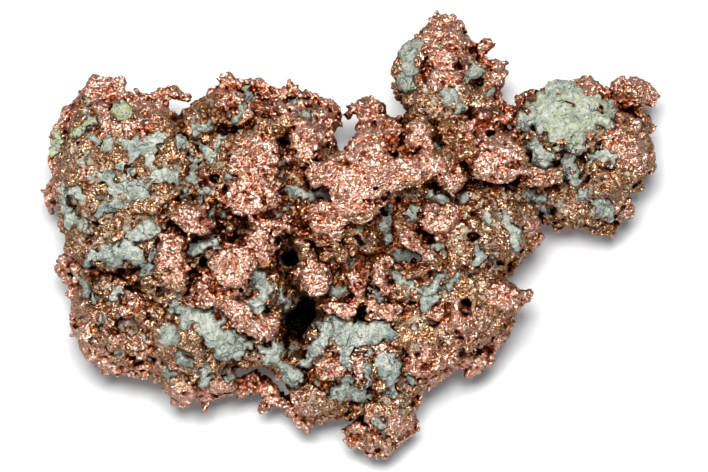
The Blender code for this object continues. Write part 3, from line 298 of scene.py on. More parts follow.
# A chain is a knotted arm or ridge: each knot is (x, y, z, radius), and the metal runs from knot to knot.
# The rim, from the horn at the far left corner round the outline.
RIM = {
    "horn": [
        (-38.7, 22.7, 13, 1.35), (-36.8, 22.2, 13, 1.3), (-35.2, 22.6, 13, 0.9), (-34.3, 22.9, 13, 0.75),
    ],
    "horn_root": [(-38.9, 21.6, 13, 1.4), (-38.2, 19.5, 13, 2.2), (-34.5, 20.3, 13, 1.6)],
    "left_rim": [
        (-39.6, 20.4, 13, 1.7), (-41.6, 18.5, 12.5, 1.55), (-42.9, 16.6, 12, 1.5), (-43.4, 14.3, 12, 1.7),
        (-43.5, 11.8, 11.5, 1.8), (-43.2, 9.3, 11.5, 1.5),
    ],
    "left_flap": [(-43.2, 8, 10, 1), (-44.4, 7.6, 9, 0.9), (-45, 6, 8.5, 0.95), (-45.3, 4.6, 8, 0.6)],
    "left_waist": [(-42, 4.5, 12, 1.9), (-41.9, 1.2, 12, 1.6), (-40.9, -1.1, 12, 1.4)],
    "left_knob": [(-43, -4.4, 9, 1.45), (-41.4, -3.5, 9.5, 1.6), (-39, -5, 9.5, 1.8)],
    "left_low_rim": [
        (-42.1, -6.4, 8.5, 0.8), (-41, -8, 8.5, 1.3), (-40.3, -11.3, 9, 1.5), (-40, -13.9, 8.5, 1.6),
        (-39.3, -16, 8, 1.3), (-37.8, -17.9, 7.5, 1.3), (-36.4, -19.2, 7.5, 1.2), (-34, -19.5, 7.5, 1.2),
        (-31.5, -19.8, 7.5, 1.3), (-29.4, -19.7, 7.5, 1.3),
    ],
    "left_tick": [(-40.3, -11.8, 9, 1.2), (-41.6, -12.1, 9, 0.6)],
    "toe_rim": [
        (-28.6, -20, 7.5, 1.2), (-27.1, -22, 7.5, 1.1), (-26.2, -23.6, 7.5, 1.3), (-25.5, -24.3, 7.5, 1),
        (-23.8, -23.6, 7.5, 1.1), (-21.9, -23.8, 7, 1), (-20.3, -23.6, 7, 1), (-18.1, -22.9, 7, 0.95),
    ],
    "toe_drop": [(-21.8, -24.2, 7, 0.8), (-21.8, -25.5, 6.5, 0.6)],
    "window_arm": [
        (-18.1, -22.3, 7.5, 1.1), (-16.3, -22.8, 7.2, 1.1), (-14.5, -22.4, 7, 1.1), (-12.9, -22.6, 7, 1),
        (-12.2, -24, 7, 1), (-10.8, -24.8, 7, 1.15), (-9, -25.1, 7, 1.2), (-7.4, -25.4, 7.2, 1.4),
    ],
    "window_foot": [(-12, -24.6, 7, 0.9), (-12.9, -25.8, 6.5, 0.95)],
    "window_spike_a": [(-14.6, -22, 7, 0.8), (-14.3, -20.6, 7.5, 0.5)],
    "window_spike_b": [(-12.6, -22.4, 7, 0.8), (-12.3, -21.4, 7.3, 0.5)],
    "bottom_rim": [(-8, -26.6, 6.5, 1), (-7.2, -27.7, 6.5, 1), (-6.8, -28.7, 6.2, 0.6)],
    "bottom_lip": [
        (-6.6, -27, 6.8, 1.1), (-5.2, -27.3, 6.6, 0.95), (-3.5, -27.2, 6.6, 1), (-1.7, -26.9, 6.6, 0.85),
        (0.3, -25.6, 7, 0.9),
    ],
    "tail_rim": [
        (2.4, -27, 7.5, 1.1), (1.9, -29.3, 7, 0.9), (0.3, -30.4, 6.5, 1.15), (2, -31.1, 6.2, 1.1),
        (3.7, -32, 6, 1.2), (5.5, -31.4, 6, 1.3), (7.1, -30.1, 6.2, 1.3), (8.5, -28.6, 6.6, 1.1),
        (8.4, -26.6, 7, 1.1), (8.7, -24.7, 7.5, 1), (10.1, -23.9, 8, 0.55), (10.8, -23.5, 8.5, 0.35),
    ],
    "tail_spur": [(1.5, -29.3, 7, 0.7), (-0.7, -29.1, 6.6, 0.5)],
    "tail_tick": [(9, -28.1, 6.8, 0.7), (10, -28, 7, 0.4)],
    "low_right_rim": [
        (10.5, -21.6, 8.5, 1), (12.1, -21.1, 9, 1.2), (13.8, -20.3, 9, 1.3), (15.8, -18.6, 8.5, 1.1),
        (18, -18.4, 8, 1.2), (20.3, -18.1, 8, 1.2), (21.2, -16.2, 8.5, 1.3), (22.1, -14.3, 9, 1.4),
        (22.7, -12, 9.5, 1.5), (23.7, -10.4, 10, 1.5), (25.6, -9.2, 10.5, 1.2), (26.3, -9.1, 10.5, 0.7),
    ],
    "low_right_drop": [(19.2, -19, 7.8, 1.2), (18.2, -20.2, 7.4, 1.05)],
    "east_ledge": [(20, -7.6, 11.5, 1.5), (23.2, -8.2, 11.3, 1), (25.2, -8.3, 11, 0.8)],
    "east_tip": [
        (21.8, -4.2, 11, 1.2), (23.9, -3.6, 11, 1.1), (25.7, -1.9, 10.5, 1.1), (27.5, -0.3, 10, 1),
        (27, 1.6, 10.5, 1.2),
    ],
    "lobe_low_rim": [
        (27.5, 4.4, 9, 1.4), (29.3, 3.3, 8.5, 1.2), (31, 2.3, 8, 0.9), (33.2, 3, 8, 1.3),
        (35.2, 2.6, 8, 1.35), (37.3, 2.1, 8, 1.4), (39.1, 1.3, 7.5, 1.25), (39.5, 3, 8, 1.2),
        (41, 3.7, 8.5, 1.2), (40.3, 5.5, 9, 1.4), (42.1, 7.7, 9, 1.2), (42.9, 9.7, 9.5, 1.1),
        (44.4, 11.1, 9, 1.2), (43.4, 13.8, 9.5, 1.4), (44.1, 16.3, 9.5, 1), (43, 18.3, 10, 1.2),
    ],
    "lobe_drop": [(31, 2.3, 8, 0.7), (31, 1.3, 7.6, 0.5)],
    "lobe_tick_a": [(42.6, 7.6, 8.8, 0.9), (43.4, 7.3, 8.5, 0.6)],
    "lobe_tick_b": [(44, 11.6, 9, 0.9), (44.8, 12, 9, 0.7)],
    "rosette_a": [(42.2, 21.2, 11, 1.6), (40.3, 22.2, 11, 1.15)],
    "rosette_b": [(42.2, 21.2, 11, 1.6), (42.6, 23.2, 11, 0.75)],
    "rosette_c": [(42.8, 21.4, 11, 1.6), (44.3, 21.7, 10.6, 0.95), (45.2, 21.5, 10.5, 0.75)],
    "rosette_d": [(43, 20.8, 10.8, 1.5), (45, 20.6, 10.5, 0.8)],
    "rosette_e": [(42.6, 20.6, 10.8, 1.6), (43, 18.6, 10.3, 1.3)],
    "rosette_root": [(41.6, 20.2, 10.6, 1.5), (39.9, 19.6, 10.5, 1.3), (38.4, 19.2, 11, 1.4)],
    "lobe_top_rim": [
        (38, 20.6, 11, 0.9), (36.9, 21.5, 11, 0.95), (35.6, 22.5, 11.2, 1.05), (34.2, 22.6, 11.4, 1.05),
        (33.2, 21.8, 11.6, 1.1),
    ],
    "plate_rim": [
        (33, 21.2, 13.8, 1.2), (31.3, 21.7, 14, 1.3), (29.6, 20.9, 14, 1.3), (27.5, 19.9, 13.6, 1.3),
        (26, 19.9, 12.6, 0.9), (25.5, 20.4, 12, 0.45),
    ],
    "neck_top": [(27, 18.6, 12.8, 1.3), (25, 18.2, 12, 1.1), (23.6, 18.7, 12, 0.8), (22.2, 19.2, 12, 1)],
    "neck_ring_a": [
        (21.4, 17.6, 13.4, 1.1), (23, 17.5, 13.6, 0.7), (24.8, 16.8, 14, 0.7), (26.4, 15.4, 14.2, 0.8),
    ],
    "neck_ring_b": [
        (26.4, 15.2, 14.2, 0.8), (24.6, 14.5, 14.2, 0.8), (22.6, 14.4, 14.2, 0.9), (21.4, 15.4, 13.6, 0.8),
        (21.4, 17.2, 13.4, 0.9),
    ],
    "peak_east_rim": [
        (21.7, 20.7, 12, 1), (21.9, 22.9, 12.2, 1.2), (22.1, 25, 12.4, 1.1), (20.4, 25.1, 12.4, 1.2),
        (18.4, 26.4, 12.2, 1.4),
    ],
    "peak_corner": [(22.2, 25.2, 12.4, 0.9), (23.1, 25.8, 12.4, 0.4)],
    "peak_spur": [(18.3, 27, 12.2, 1), (19.6, 27.8, 12.4, 0.8), (20.5, 28.9, 12.6, 0.75)],
    "peak_top_rim": [
        (16.2, 28.4, 11.6, 1.2), (15.6, 30, 11.6, 1.1), (15.6, 31.2, 11.6, 1.1), (14, 32, 11.6, 1.25),
        (13.2, 31.4, 11.6, 1.2), (12.2, 29.6, 11.6, 1.3), (10.3, 28.7, 11.4, 1.2), (8.9, 27.7, 11.2, 1.15),
        (8.2, 26.5, 11, 1.3), (7.9, 24.8, 11, 1.4), (7.6, 23.1, 11, 1.2), (8.1, 21.2, 11, 1.1),
    ],
    "peak_tick": [(16, 30.6, 11.6, 0.8), (17.3, 30.5, 11.6, 0.4)],
    "peak_west_root": [
        (8.1, 21, 11, 0.9), (10.2, 19.2, 12, 1.4), (10, 17, 13.4, 1.2), (7.9, 16.6, 13.8, 0.8),
    ],
    "hook_finger": [
        (-0.2, 17.8, 13, 0.3), (0.3, 18.7, 13, 0.55), (1.5, 19.2, 13.2, 0.95), (3, 19, 13.4, 1.25),
        (4.1, 18.8, 13.4, 1),
    ],
    "hook_stem": [(3.2, 18.6, 13.4, 1.4), (3, 17.1, 14, 1.3), (3, 15.8, 15, 1.4), (3.2, 14, 17, 2.2)],
    "saddle": [(4.2, 16.4, 14.6, 1.2), (5.7, 16.6, 14.6, 1.2), (6.8, 16.7, 14.4, 1), (7, 15, 16, 1.6)],
    "notch_west": [
        (-4.5, 19.2, 13.2, 1), (-3.4, 19.1, 13.2, 0.9), (-2.5, 18.3, 13.2, 0.95), (-2.5, 16.9, 13.4, 1.1),
        (-2.9, 15.6, 14, 1), (-4.2, 14, 15, 1.8),
    ],
    "notch_floor": [(-3.6, 12.6, 14, 1.4), (-1.6, 10.9, 15, 1.2), (0.6, 12.2, 15, 1)],
    "top_rim_c": [
        (-5.2, 19.8, 13.2, 1), (-6.4, 20.5, 13.2, 1), (-7.7, 20.8, 13.2, 1), (-8.5, 22.1, 13.2, 0.6),
    ],
    "top_rim_b": [(-8.6, 21.4, 13.2, 0.8), (-10.2, 21, 13.2, 1), (-11.8, 20.4, 13.2, 1)],
    "top_curl": [(-11.9, 20.9, 13, 0.7), (-12.2, 21.9, 12.8, 0.5), (-12.9, 22.5, 12.8, 0.35)],
    "top_rim_a": [
        (-13.6, 20.6, 13, 1.2), (-14.2, 22.3, 13, 0.85), (-15.7, 22, 13, 0.9), (-17.1, 22.1, 13, 0.95),
        (-18.4, 23, 13, 0.85), (-18.5, 21.5, 13, 1.1), (-18.9, 19.8, 13, 1.6),
    ],
    "top_beak": [(-18.4, 23.1, 13, 0.7), (-19.2, 23, 13, 0.3)],
    "top_tooth": [(-20.8, 19.8, 12.6, 1.2), (-20.6, 21.5, 12.6, 0.6)],
    "shoulder": [(-20.6, 18.6, 12.8, 1.6), (-22.7, 18.4, 12.6, 1.1), (-24.5, 18.7, 12.6, 0.7)],
    "top_hook": [
        (-31.6, 19.4, 13, 1.7), (-29.2, 20.1, 13, 1.3), (-27.6, 20.7, 13, 0.8), (-26.3, 21.6, 13, 0.75),
        (-25.5, 21.2, 13, 0.6), (-24.9, 20.7, 13, 0.32),
    ],
    "top_jag": [(-31.2, 20.6, 13, 0.9), (-31.7, 21.8, 13, 0.4)],
}

# The ridges and knobs that stand on the upper face.
RIDGES = {
    "ridge_a": [(-13.4, 16, 20.5, 1.4), (-10.2, 16.3, 21, 1.4), (-7.2, 16.4, 21, 1.4)],
    "ridge_b": [
        (-17.6, 9.6, 24.2, 0.9), (-14.8, 9.3, 24.6, 1), (-12.2, 8.3, 24.6, 1), (-10.4, 7.2, 23.4, 0.9),
    ],
    "ridge_c": [(4, 8.3, 26.4, 2.3), (8.8, 9.3, 26.6, 1.9), (11.8, 10.5, 26.2, 1.6), (13.8, 11.6, 25, 1.3)],
    "knob_c": [(15, 8.7, 24.6, 1.9), (15.6, 9.6, 22, 1.8)],
    "ridge_d": [
        (15.6, 16.4, 20.6, 1), (16.6, 14.4, 22.4, 1.3), (17.8, 12.4, 23.6, 1.4), (18.8, 10.6, 24.2, 1.4),
    ],
    "ridge_d_strand": [(14, 15.4, 21.4, 0.9), (14.6, 13.2, 22.6, 1.1), (15.2, 10.8, 24, 1.1)],
    "ridge_e": [
        (-26.8, 4.9, 22.6, 0.9), (-25, 3.3, 23.6, 1.5), (-23, 2.2, 24.2, 1.9), (-21.5, 1.5, 23.6, 1.3),
    ],
    "ridge_f": [
        (-26, 0, 22, 1.4), (-26.9, -2.5, 22.8, 1.8), (-26.6, -5.2, 23.2, 1.9), (-24.9, -6.7, 23.6, 1.5),
    ],
    "ridge_f_spur": [(-27.2, -6.3, 21.5, 1), (-30.3, -6.9, 20, 0.4)],
    "ridge_g": [
        (-21.3, -5.2, 23.4, 0.8), (-21.7, -7.5, 23.4, 1.2), (-21.5, -9.6, 23.2, 1.3),
        (-18.6, -9.9, 23, 1.1), (-16.6, -11.7, 22.6, 1.3), (-14.4, -13.1, 22, 1.4), (-13, -14.2, 21.2, 1.5),
        (-12.7, -16.4, 19.6, 1),
    ],
    "ridge_h": [(-13.8, 1.7, 23.4, 1.4), (-13.5, -1, 23.8, 1.7), (-12.8, -3.1, 23, 1.3)],
    "ridge_i": [(-12, 1.9, 23.2, 0.9), (-9.6, 1.8, 23.4, 1.1), (-7.8, 1.2, 23, 0.9)],
    "ridge_j": [(-7, -0.3, 22.6, 1.1), (-6.5, -2.5, 22.4, 1.2), (-6.2, -4.2, 22, 1.2)],
    "ridge_k": [(-5, 0.1, 23.8, 1), (-3, -1.4, 23.6, 1.1), (-1.4, -2.8, 22.8, 0.9)],
    "ridge_l": [(-2.6, -10.4, 20.4, 1.5), (-1, -11, 20.6, 1.6), (0.3, -10.5, 20.4, 1.4)],
    "ridge_m": [(3.2, -11, 20.4, 1.3), (4.8, -11.4, 20.6, 1.5), (6.4, -11, 20.2, 1.2)],
    "ridge_n": [(-0.6, -4.9, 21.6, 0.9), (0.3, -6.8, 21.6, 1), (1.2, -9, 21, 0.9)],
    "ridge_o": [
        (7.2, 2.6, 23.2, 0.9), (8.3, 0.3, 23.8, 1.2), (9.8, -1.3, 23.8, 1.1), (11.5, -2.6, 23.6, 1),
        (13, -4.4, 22.6, 0.9),
    ],
    "ridge_p": [(11.6, -4.4, 22.6, 0.9), (10.9, -5.4, 22.6, 1), (9.6, -5.6, 22.2, 0.8)],
    "ridge_q": [(1.5, 2.2, 23.4, 0.8), (3, 0.8, 23.6, 0.8), (3.9, -0.9, 23, 0.7)],
    "ridge_r": [(5.9, -3.1, 22.2, 0.8), (4.8, -4.4, 22.6, 1), (4.4, -6.2, 22.4, 1), (5.4, -8, 21.8, 0.9)],
    "ridge_s": [
        (-2.9, -17.3, 18.4, 0.6), (-2.7, -19, 18.2, 1.1), (-4.3, -19.9, 17.6, 1.1), (-3, -20.8, 17.2, 0.9),
    ],
    "ridge_t": [
        (-0.3, -18.2, 18.4, 0.8), (0.9, -18.3, 18.6, 1.1), (1.2, -20, 18.2, 0.9), (1.3, -21.8, 17, 0.6),
    ],
    "ridge_u": [(3.2, -16, 19, 0.6), (4.5, -16.9, 19, 0.8), (6.5, -17.3, 18.4, 0.8)],
    "ridge_v": [(4.3, -22.6, 17, 0.9), (4.5, -21.4, 17.4, 0.5)],
    "ridge_w": [(26.1, 8.9, 19.8, 1.4), (28.5, 8.6, 19.8, 1.4), (31, 9.5, 19.2, 1.2)],
    "ridge_x": [
        (20.4, -13.5, 15, 1.6), (18, -15.4, 14.6, 1.7), (15.2, -16.9, 14.6, 1.8), (12.2, -18.4, 14.6, 1.9),
    ],
    "ridge_y": [(22, -11.2, 15, 1.6), (20.4, -13.5, 15, 1.5)],
    "shelf_bed": [
        (-38, -6.2, 13.2, 1.8), (-35.4, -6.4, 14, 2), (-32.6, -6.6, 14.8, 2), (-29.8, -5.8, 16, 1.8),
    ],
    "arch_bed": [(-25.4, -1.4, 20, 1.3), (-24.6, -0.2, 20.6, 1.5)],
    "knob_left_a": [(-39.4, 9.4, 19.4, 1.1)],
    "knob_left_b": [(-21.6, 9.1, 22.8, 0.9)],
    "knob_low_a": [(-31.8, -9.8, 16.8, 1.8)],
    "knob_low_b": [(-28.9, -11.4, 18.4, 1.3)],
    "knob_low_c": [(-29.6, -13.8, 17.6, 1.4)],
    "plate_knob": [(29.4, 13.2, 19.6, 1.3)],
    "plate_chip_a": [(30.5, 20.9, 18.9, 0.4), (31.5, 20.6, 19, 0.35)],
    "plate_chip_b": [(32.2, 19.7, 19.6, 0.3), (33.2, 19.5, 19.6, 0.42)],
    "plate_chip_c": [(37.2, 19.1, 18.2, 0.4), (37.7, 18.9, 18, 0.3)],
    "button_ring_a": [
        (-31.3, 9.5, 23.8, 0.28), (-31.6, 10.3, 23.7, 0.28), (-32.4, 10.6, 23.7, 0.26),
        (-33.2, 10.1, 23.7, 0.28), (-33.4, 9.3, 23.7, 0.26), (-32.8, 8.6, 23.8, 0.3),
        (-31.9, 8.6, 23.8, 0.26), (-31.3, 9.5, 23.8, 0.28),
    ],
    "button_ring_b": [
        (-29.6, 10.4, 23.6, 0.26), (-30, 11.1, 23.5, 0.28), (-30.8, 11.1, 23.6, 0.26),
        (-31.2, 10.3, 23.7, 0.26), (-30.7, 9.5, 23.7, 0.28), (-29.9, 9.6, 23.7, 0.26),
        (-29.6, 10.4, 23.6, 0.26),
    ],
}

# A hollow is cut away as the space round a chain of the same kind.
HOLLOWS = {
    "window_top": [(-26.4, 19, 3, 1.15), (-26.4, 19, 24, 1.15)],
    "window_neck": [(23.6, 15.9, 2, 0.8), (23.6, 15.9, 24, 0.8)],
    "window_low_a": [(-10.6, -22.1, 1, 1), (-10.6, -22.1, 24, 1)],
    "window_low_b": [(-13.2, -20.4, 1, 0.75), (-13.2, -20.4, 24, 0.75)],
    "window_low_c": [(-15.4, -20.2, 1, 0.6), (-15.4, -20.2, 24, 0.6)],
    "window_low_d": [(-11.9, -20.8, 1, 0.8), (-11.9, -20.8, 24, 0.8)],
    "slot_a": [(-9.9, 14, 22, 1), (-10.3, 12.6, 20.5, 1.2), (-11.4, 10.7, 20, 1.1)],
    "slot_a_deep": [(-9.9, 14.2, 26, 0.9), (-10.6, 12.4, 26, 1.1), (-11.4, 10.7, 26, 1)],
    "great_lobe_foot": [
        (-5.8, 8.1, 23.4, 0.8), (-3.9, 5.7, 23.7, 1), (-2.9, 3.5, 23.7, 1), (-0.6, 1.8, 23.8, 1),
        (2, 1.2, 23.8, 1), (4.6, 2.4, 23.9, 1), (5.5, 4.5, 24.1, 0.95), (6.9, 5.8, 24.1, 0.8),
        (9.6, 6.7, 24, 0.7), (12.9, 8.3, 23.6, 0.7),
    ],
    "slot_b": [(-7.2, 8.8, 22, 0.7), (-5.6, 7.9, 20.5, 0.9), (-4.4, 6.3, 20, 0.9)],
    "slot_c": [(7.8, 16.2, 20, 0.75), (7.7, 13.5, 20, 0.95), (7.6, 11.6, 20.5, 0.85)],
    "slot_c_open": [(7.8, 16.2, 24, 0.75), (7.6, 11.9, 26, 0.85)],
    "cave_a": [(20.9, 7.5, 19, 1.1), (19.5, 6.8, 18, 1.2), (17.8, 4.8, 19, 1)],
    "cave_a_open": [(20.6, 7.5, 24, 0.9), (17.8, 4.7, 24, 0.9)],
    "cave_b": [(12.7, 8.6, 21, 0.9), (12.3, 6.8, 21, 0.8)],
    "cave_c": [(7, 5.6, 22, 0.7), (7, 5.6, 17, 0.6)],
    "cave_d": [(4.8, 4, 23, 0.8), (5, 3.4, 21, 0.8)],
    "pin_a": [(3.9, 6.95, 31, 0.38), (3.9, 6.95, 26, 0.38)],
    "cave_e": [(20.3, 14.9, 20, 0.7), (21.3, 14.4, 15, 0.75)],
    "cave_f": [(17.6, 18.3, 19, 0.9), (18.8, 16.5, 17, 0.9)],
    "pin_b": [(16.2, 25.1, 20, 0.45), (16.2, 25.1, 14, 0.45)],
    "pin_c": [(23.5, 5.2, 24, 0.6), (23.6, 5.2, 17, 0.6)],
    "pin_d": [(15.9, -13.9, 20, 0.5), (15.9, -13.9, 14, 0.5)],
    "cave_g": [(17, -10, 19, 0.8), (18.8, -11.2, 14, 1.3), (20.8, -11.9, 15, 1.1), (20.9, -13, 14, 0.8)],
    "cave_n": [(20.3, -16.2, 18, 0.8), (20.5, -17, 10, 0.9)],
    "cave_o": [(16.6, -17.2, 18, 0.8), (16, -18.2, 10, 0.8)],
    "cave_h": [(10.8, -13.5, 20, 0.6), (12.5, -13.1, 18, 0.7)],
    "crease_a": [(13.6, -3.5, 23, 0.4), (14.8, -4.8, 22, 0.4)],
    "slot_d": [(-19.7, -5.2, 25, 0.55), (-19.1, -7, 24, 0.6), (-18.8, -8.6, 24, 0.5)],
    "slot_d_deep": [(-19.7, -5.2, 24.5, 0.5), (-19.6, -5.4, 21, 0.5), (-18.9, -8.4, 20, 0.5)],
    "pin_e": [(-21.6, -3.9, 25, 0.8), (-21.6, -4.1, 19, 0.8)],
    "pin_f": [(-23.3, -5.9, 25, 0.9), (-23.2, -6, 20.5, 0.9)],
    "dip_a": [(-24.3, -8.9, 22.5, 1.3), (-23.9, -8.2, 23.5, 0.9)],
    "hole_b": [(-8.9, -1.7, 25, 1.3), (-9.2, -2.9, 20, 1.6), (-8.9, -3.6, 13, 1.6)],
    "hole_b_open": [(-9.2, -3.4, 25, 1.4), (-9.2, -3.2, 9, 1.5)],
    "chasm_a": [(-6.9, -9.3, 24, 1.4), (-6.9, -11.2, 10, 2.1)],
    "chasm_b": [(-7.1, -11.4, 24, 2), (-8, -13.2, 7, 2.1)],
    "chasm_c": [(-8.4, -13.8, 24, 1.7), (-8.6, -15.6, 8, 1.7), (-8.9, -16.4, 24, 1.1)],
    "crease_b": [(-2.4, -5.2, 22.5, 0.6), (-1.8, -7.3, 20.5, 0.7)],
    "pin_g": [(1.6, -11.2, 21, 0.6), (1.7, -11.4, 17, 0.6)],
    "cave_i": [(-20.3, 0.8, 23, 0.8), (-20, 0.3, 20.5, 0.9)],
    "crease_c": [(-20.2, 8.6, 23, 0.5), (-19.6, 7.6, 22, 0.6), (-19.8, 6.5, 22, 0.5)],
    "cave_j": [(-16.5, 2.1, 22.5, 0.55), (-16, 0.9, 22, 0.6)],
    "undercut": [(-40, -5, 14, 0.5), (-38.4, -5.2, 15.5, 0.5)],
    "dip_b": [(-34.6, -12.4, 17.5, 1), (-32.6, -14.2, 17, 1.1)],
    "crease_d": [(-30.3, -17.6, 15.5, 0.5), (-28.2, -18.3, 14.5, 0.5)],
    "crease_e": [(-14.8, 18, 19.5, 0.7), (-14.2, 19.8, 17, 0.8), (-14.8, 15.8, 21, 0.5)],
    "cave_k": [(3.8, 16.7, 18, 0.5), (3.9, 16.5, 13.8, 0.5)],
    "cave_l": [(26.6, 11.3, 18, 0.7), (26.3, 11.9, 15, 0.7)],
    "cave_m": [(34.2, 11.3, 18, 0.5), (34.3, 11, 15.5, 0.5)],
    "crease_f": [(29.8, 3.2, 14, 0.6), (30.3, 3.5, 11, 0.6)],
}

# A notch is cut straight down through the outline: (x, y, radius).
NOTCHES = {
    "notch_corner_a": (-40.6, 24.3, 1.8), "notch_corner_b": (-42.7, 21.4, 1.9),
    "notch_corner_c": (-44.8, 18.3, 1.6), "notch_corner_d": (-46.2, 16.2, 1.5),
    "notch_peak": (7, 19.3, 1.1), "notch_peak_low": (6.3, 18, 0.7), "notch_east": (25.4, -6.6, 1.3),
    "notch_west": (-43.4, -0.8, 1.2), "notch_crown": (19, 29.6, 0.8), "notch_toe": (-28.9, -22.8, 0.9),
    "notch_gap": (-1.6, 15.2, 1.1), "notch_gap_high": (0.2, 16, 0.8), "notch_foot": (11.4, -24.4, 0.7),
    "notch_gap_low": (-1.5, 13.2, 0.8), "notch_east_inner": (24, -6.6, 0.8),
    "notch_peak_side": (7.8, 18.5, 0.8), "bottom_slit_a": (-2.7, -28.5, 1),
    "bottom_slit_b": (-1.3, -28.3, 0.9), "bottom_slit_c": (0.2, -28, 0.75),
    "bottom_slit_d": (1.3, -27.8, 0.5),
}
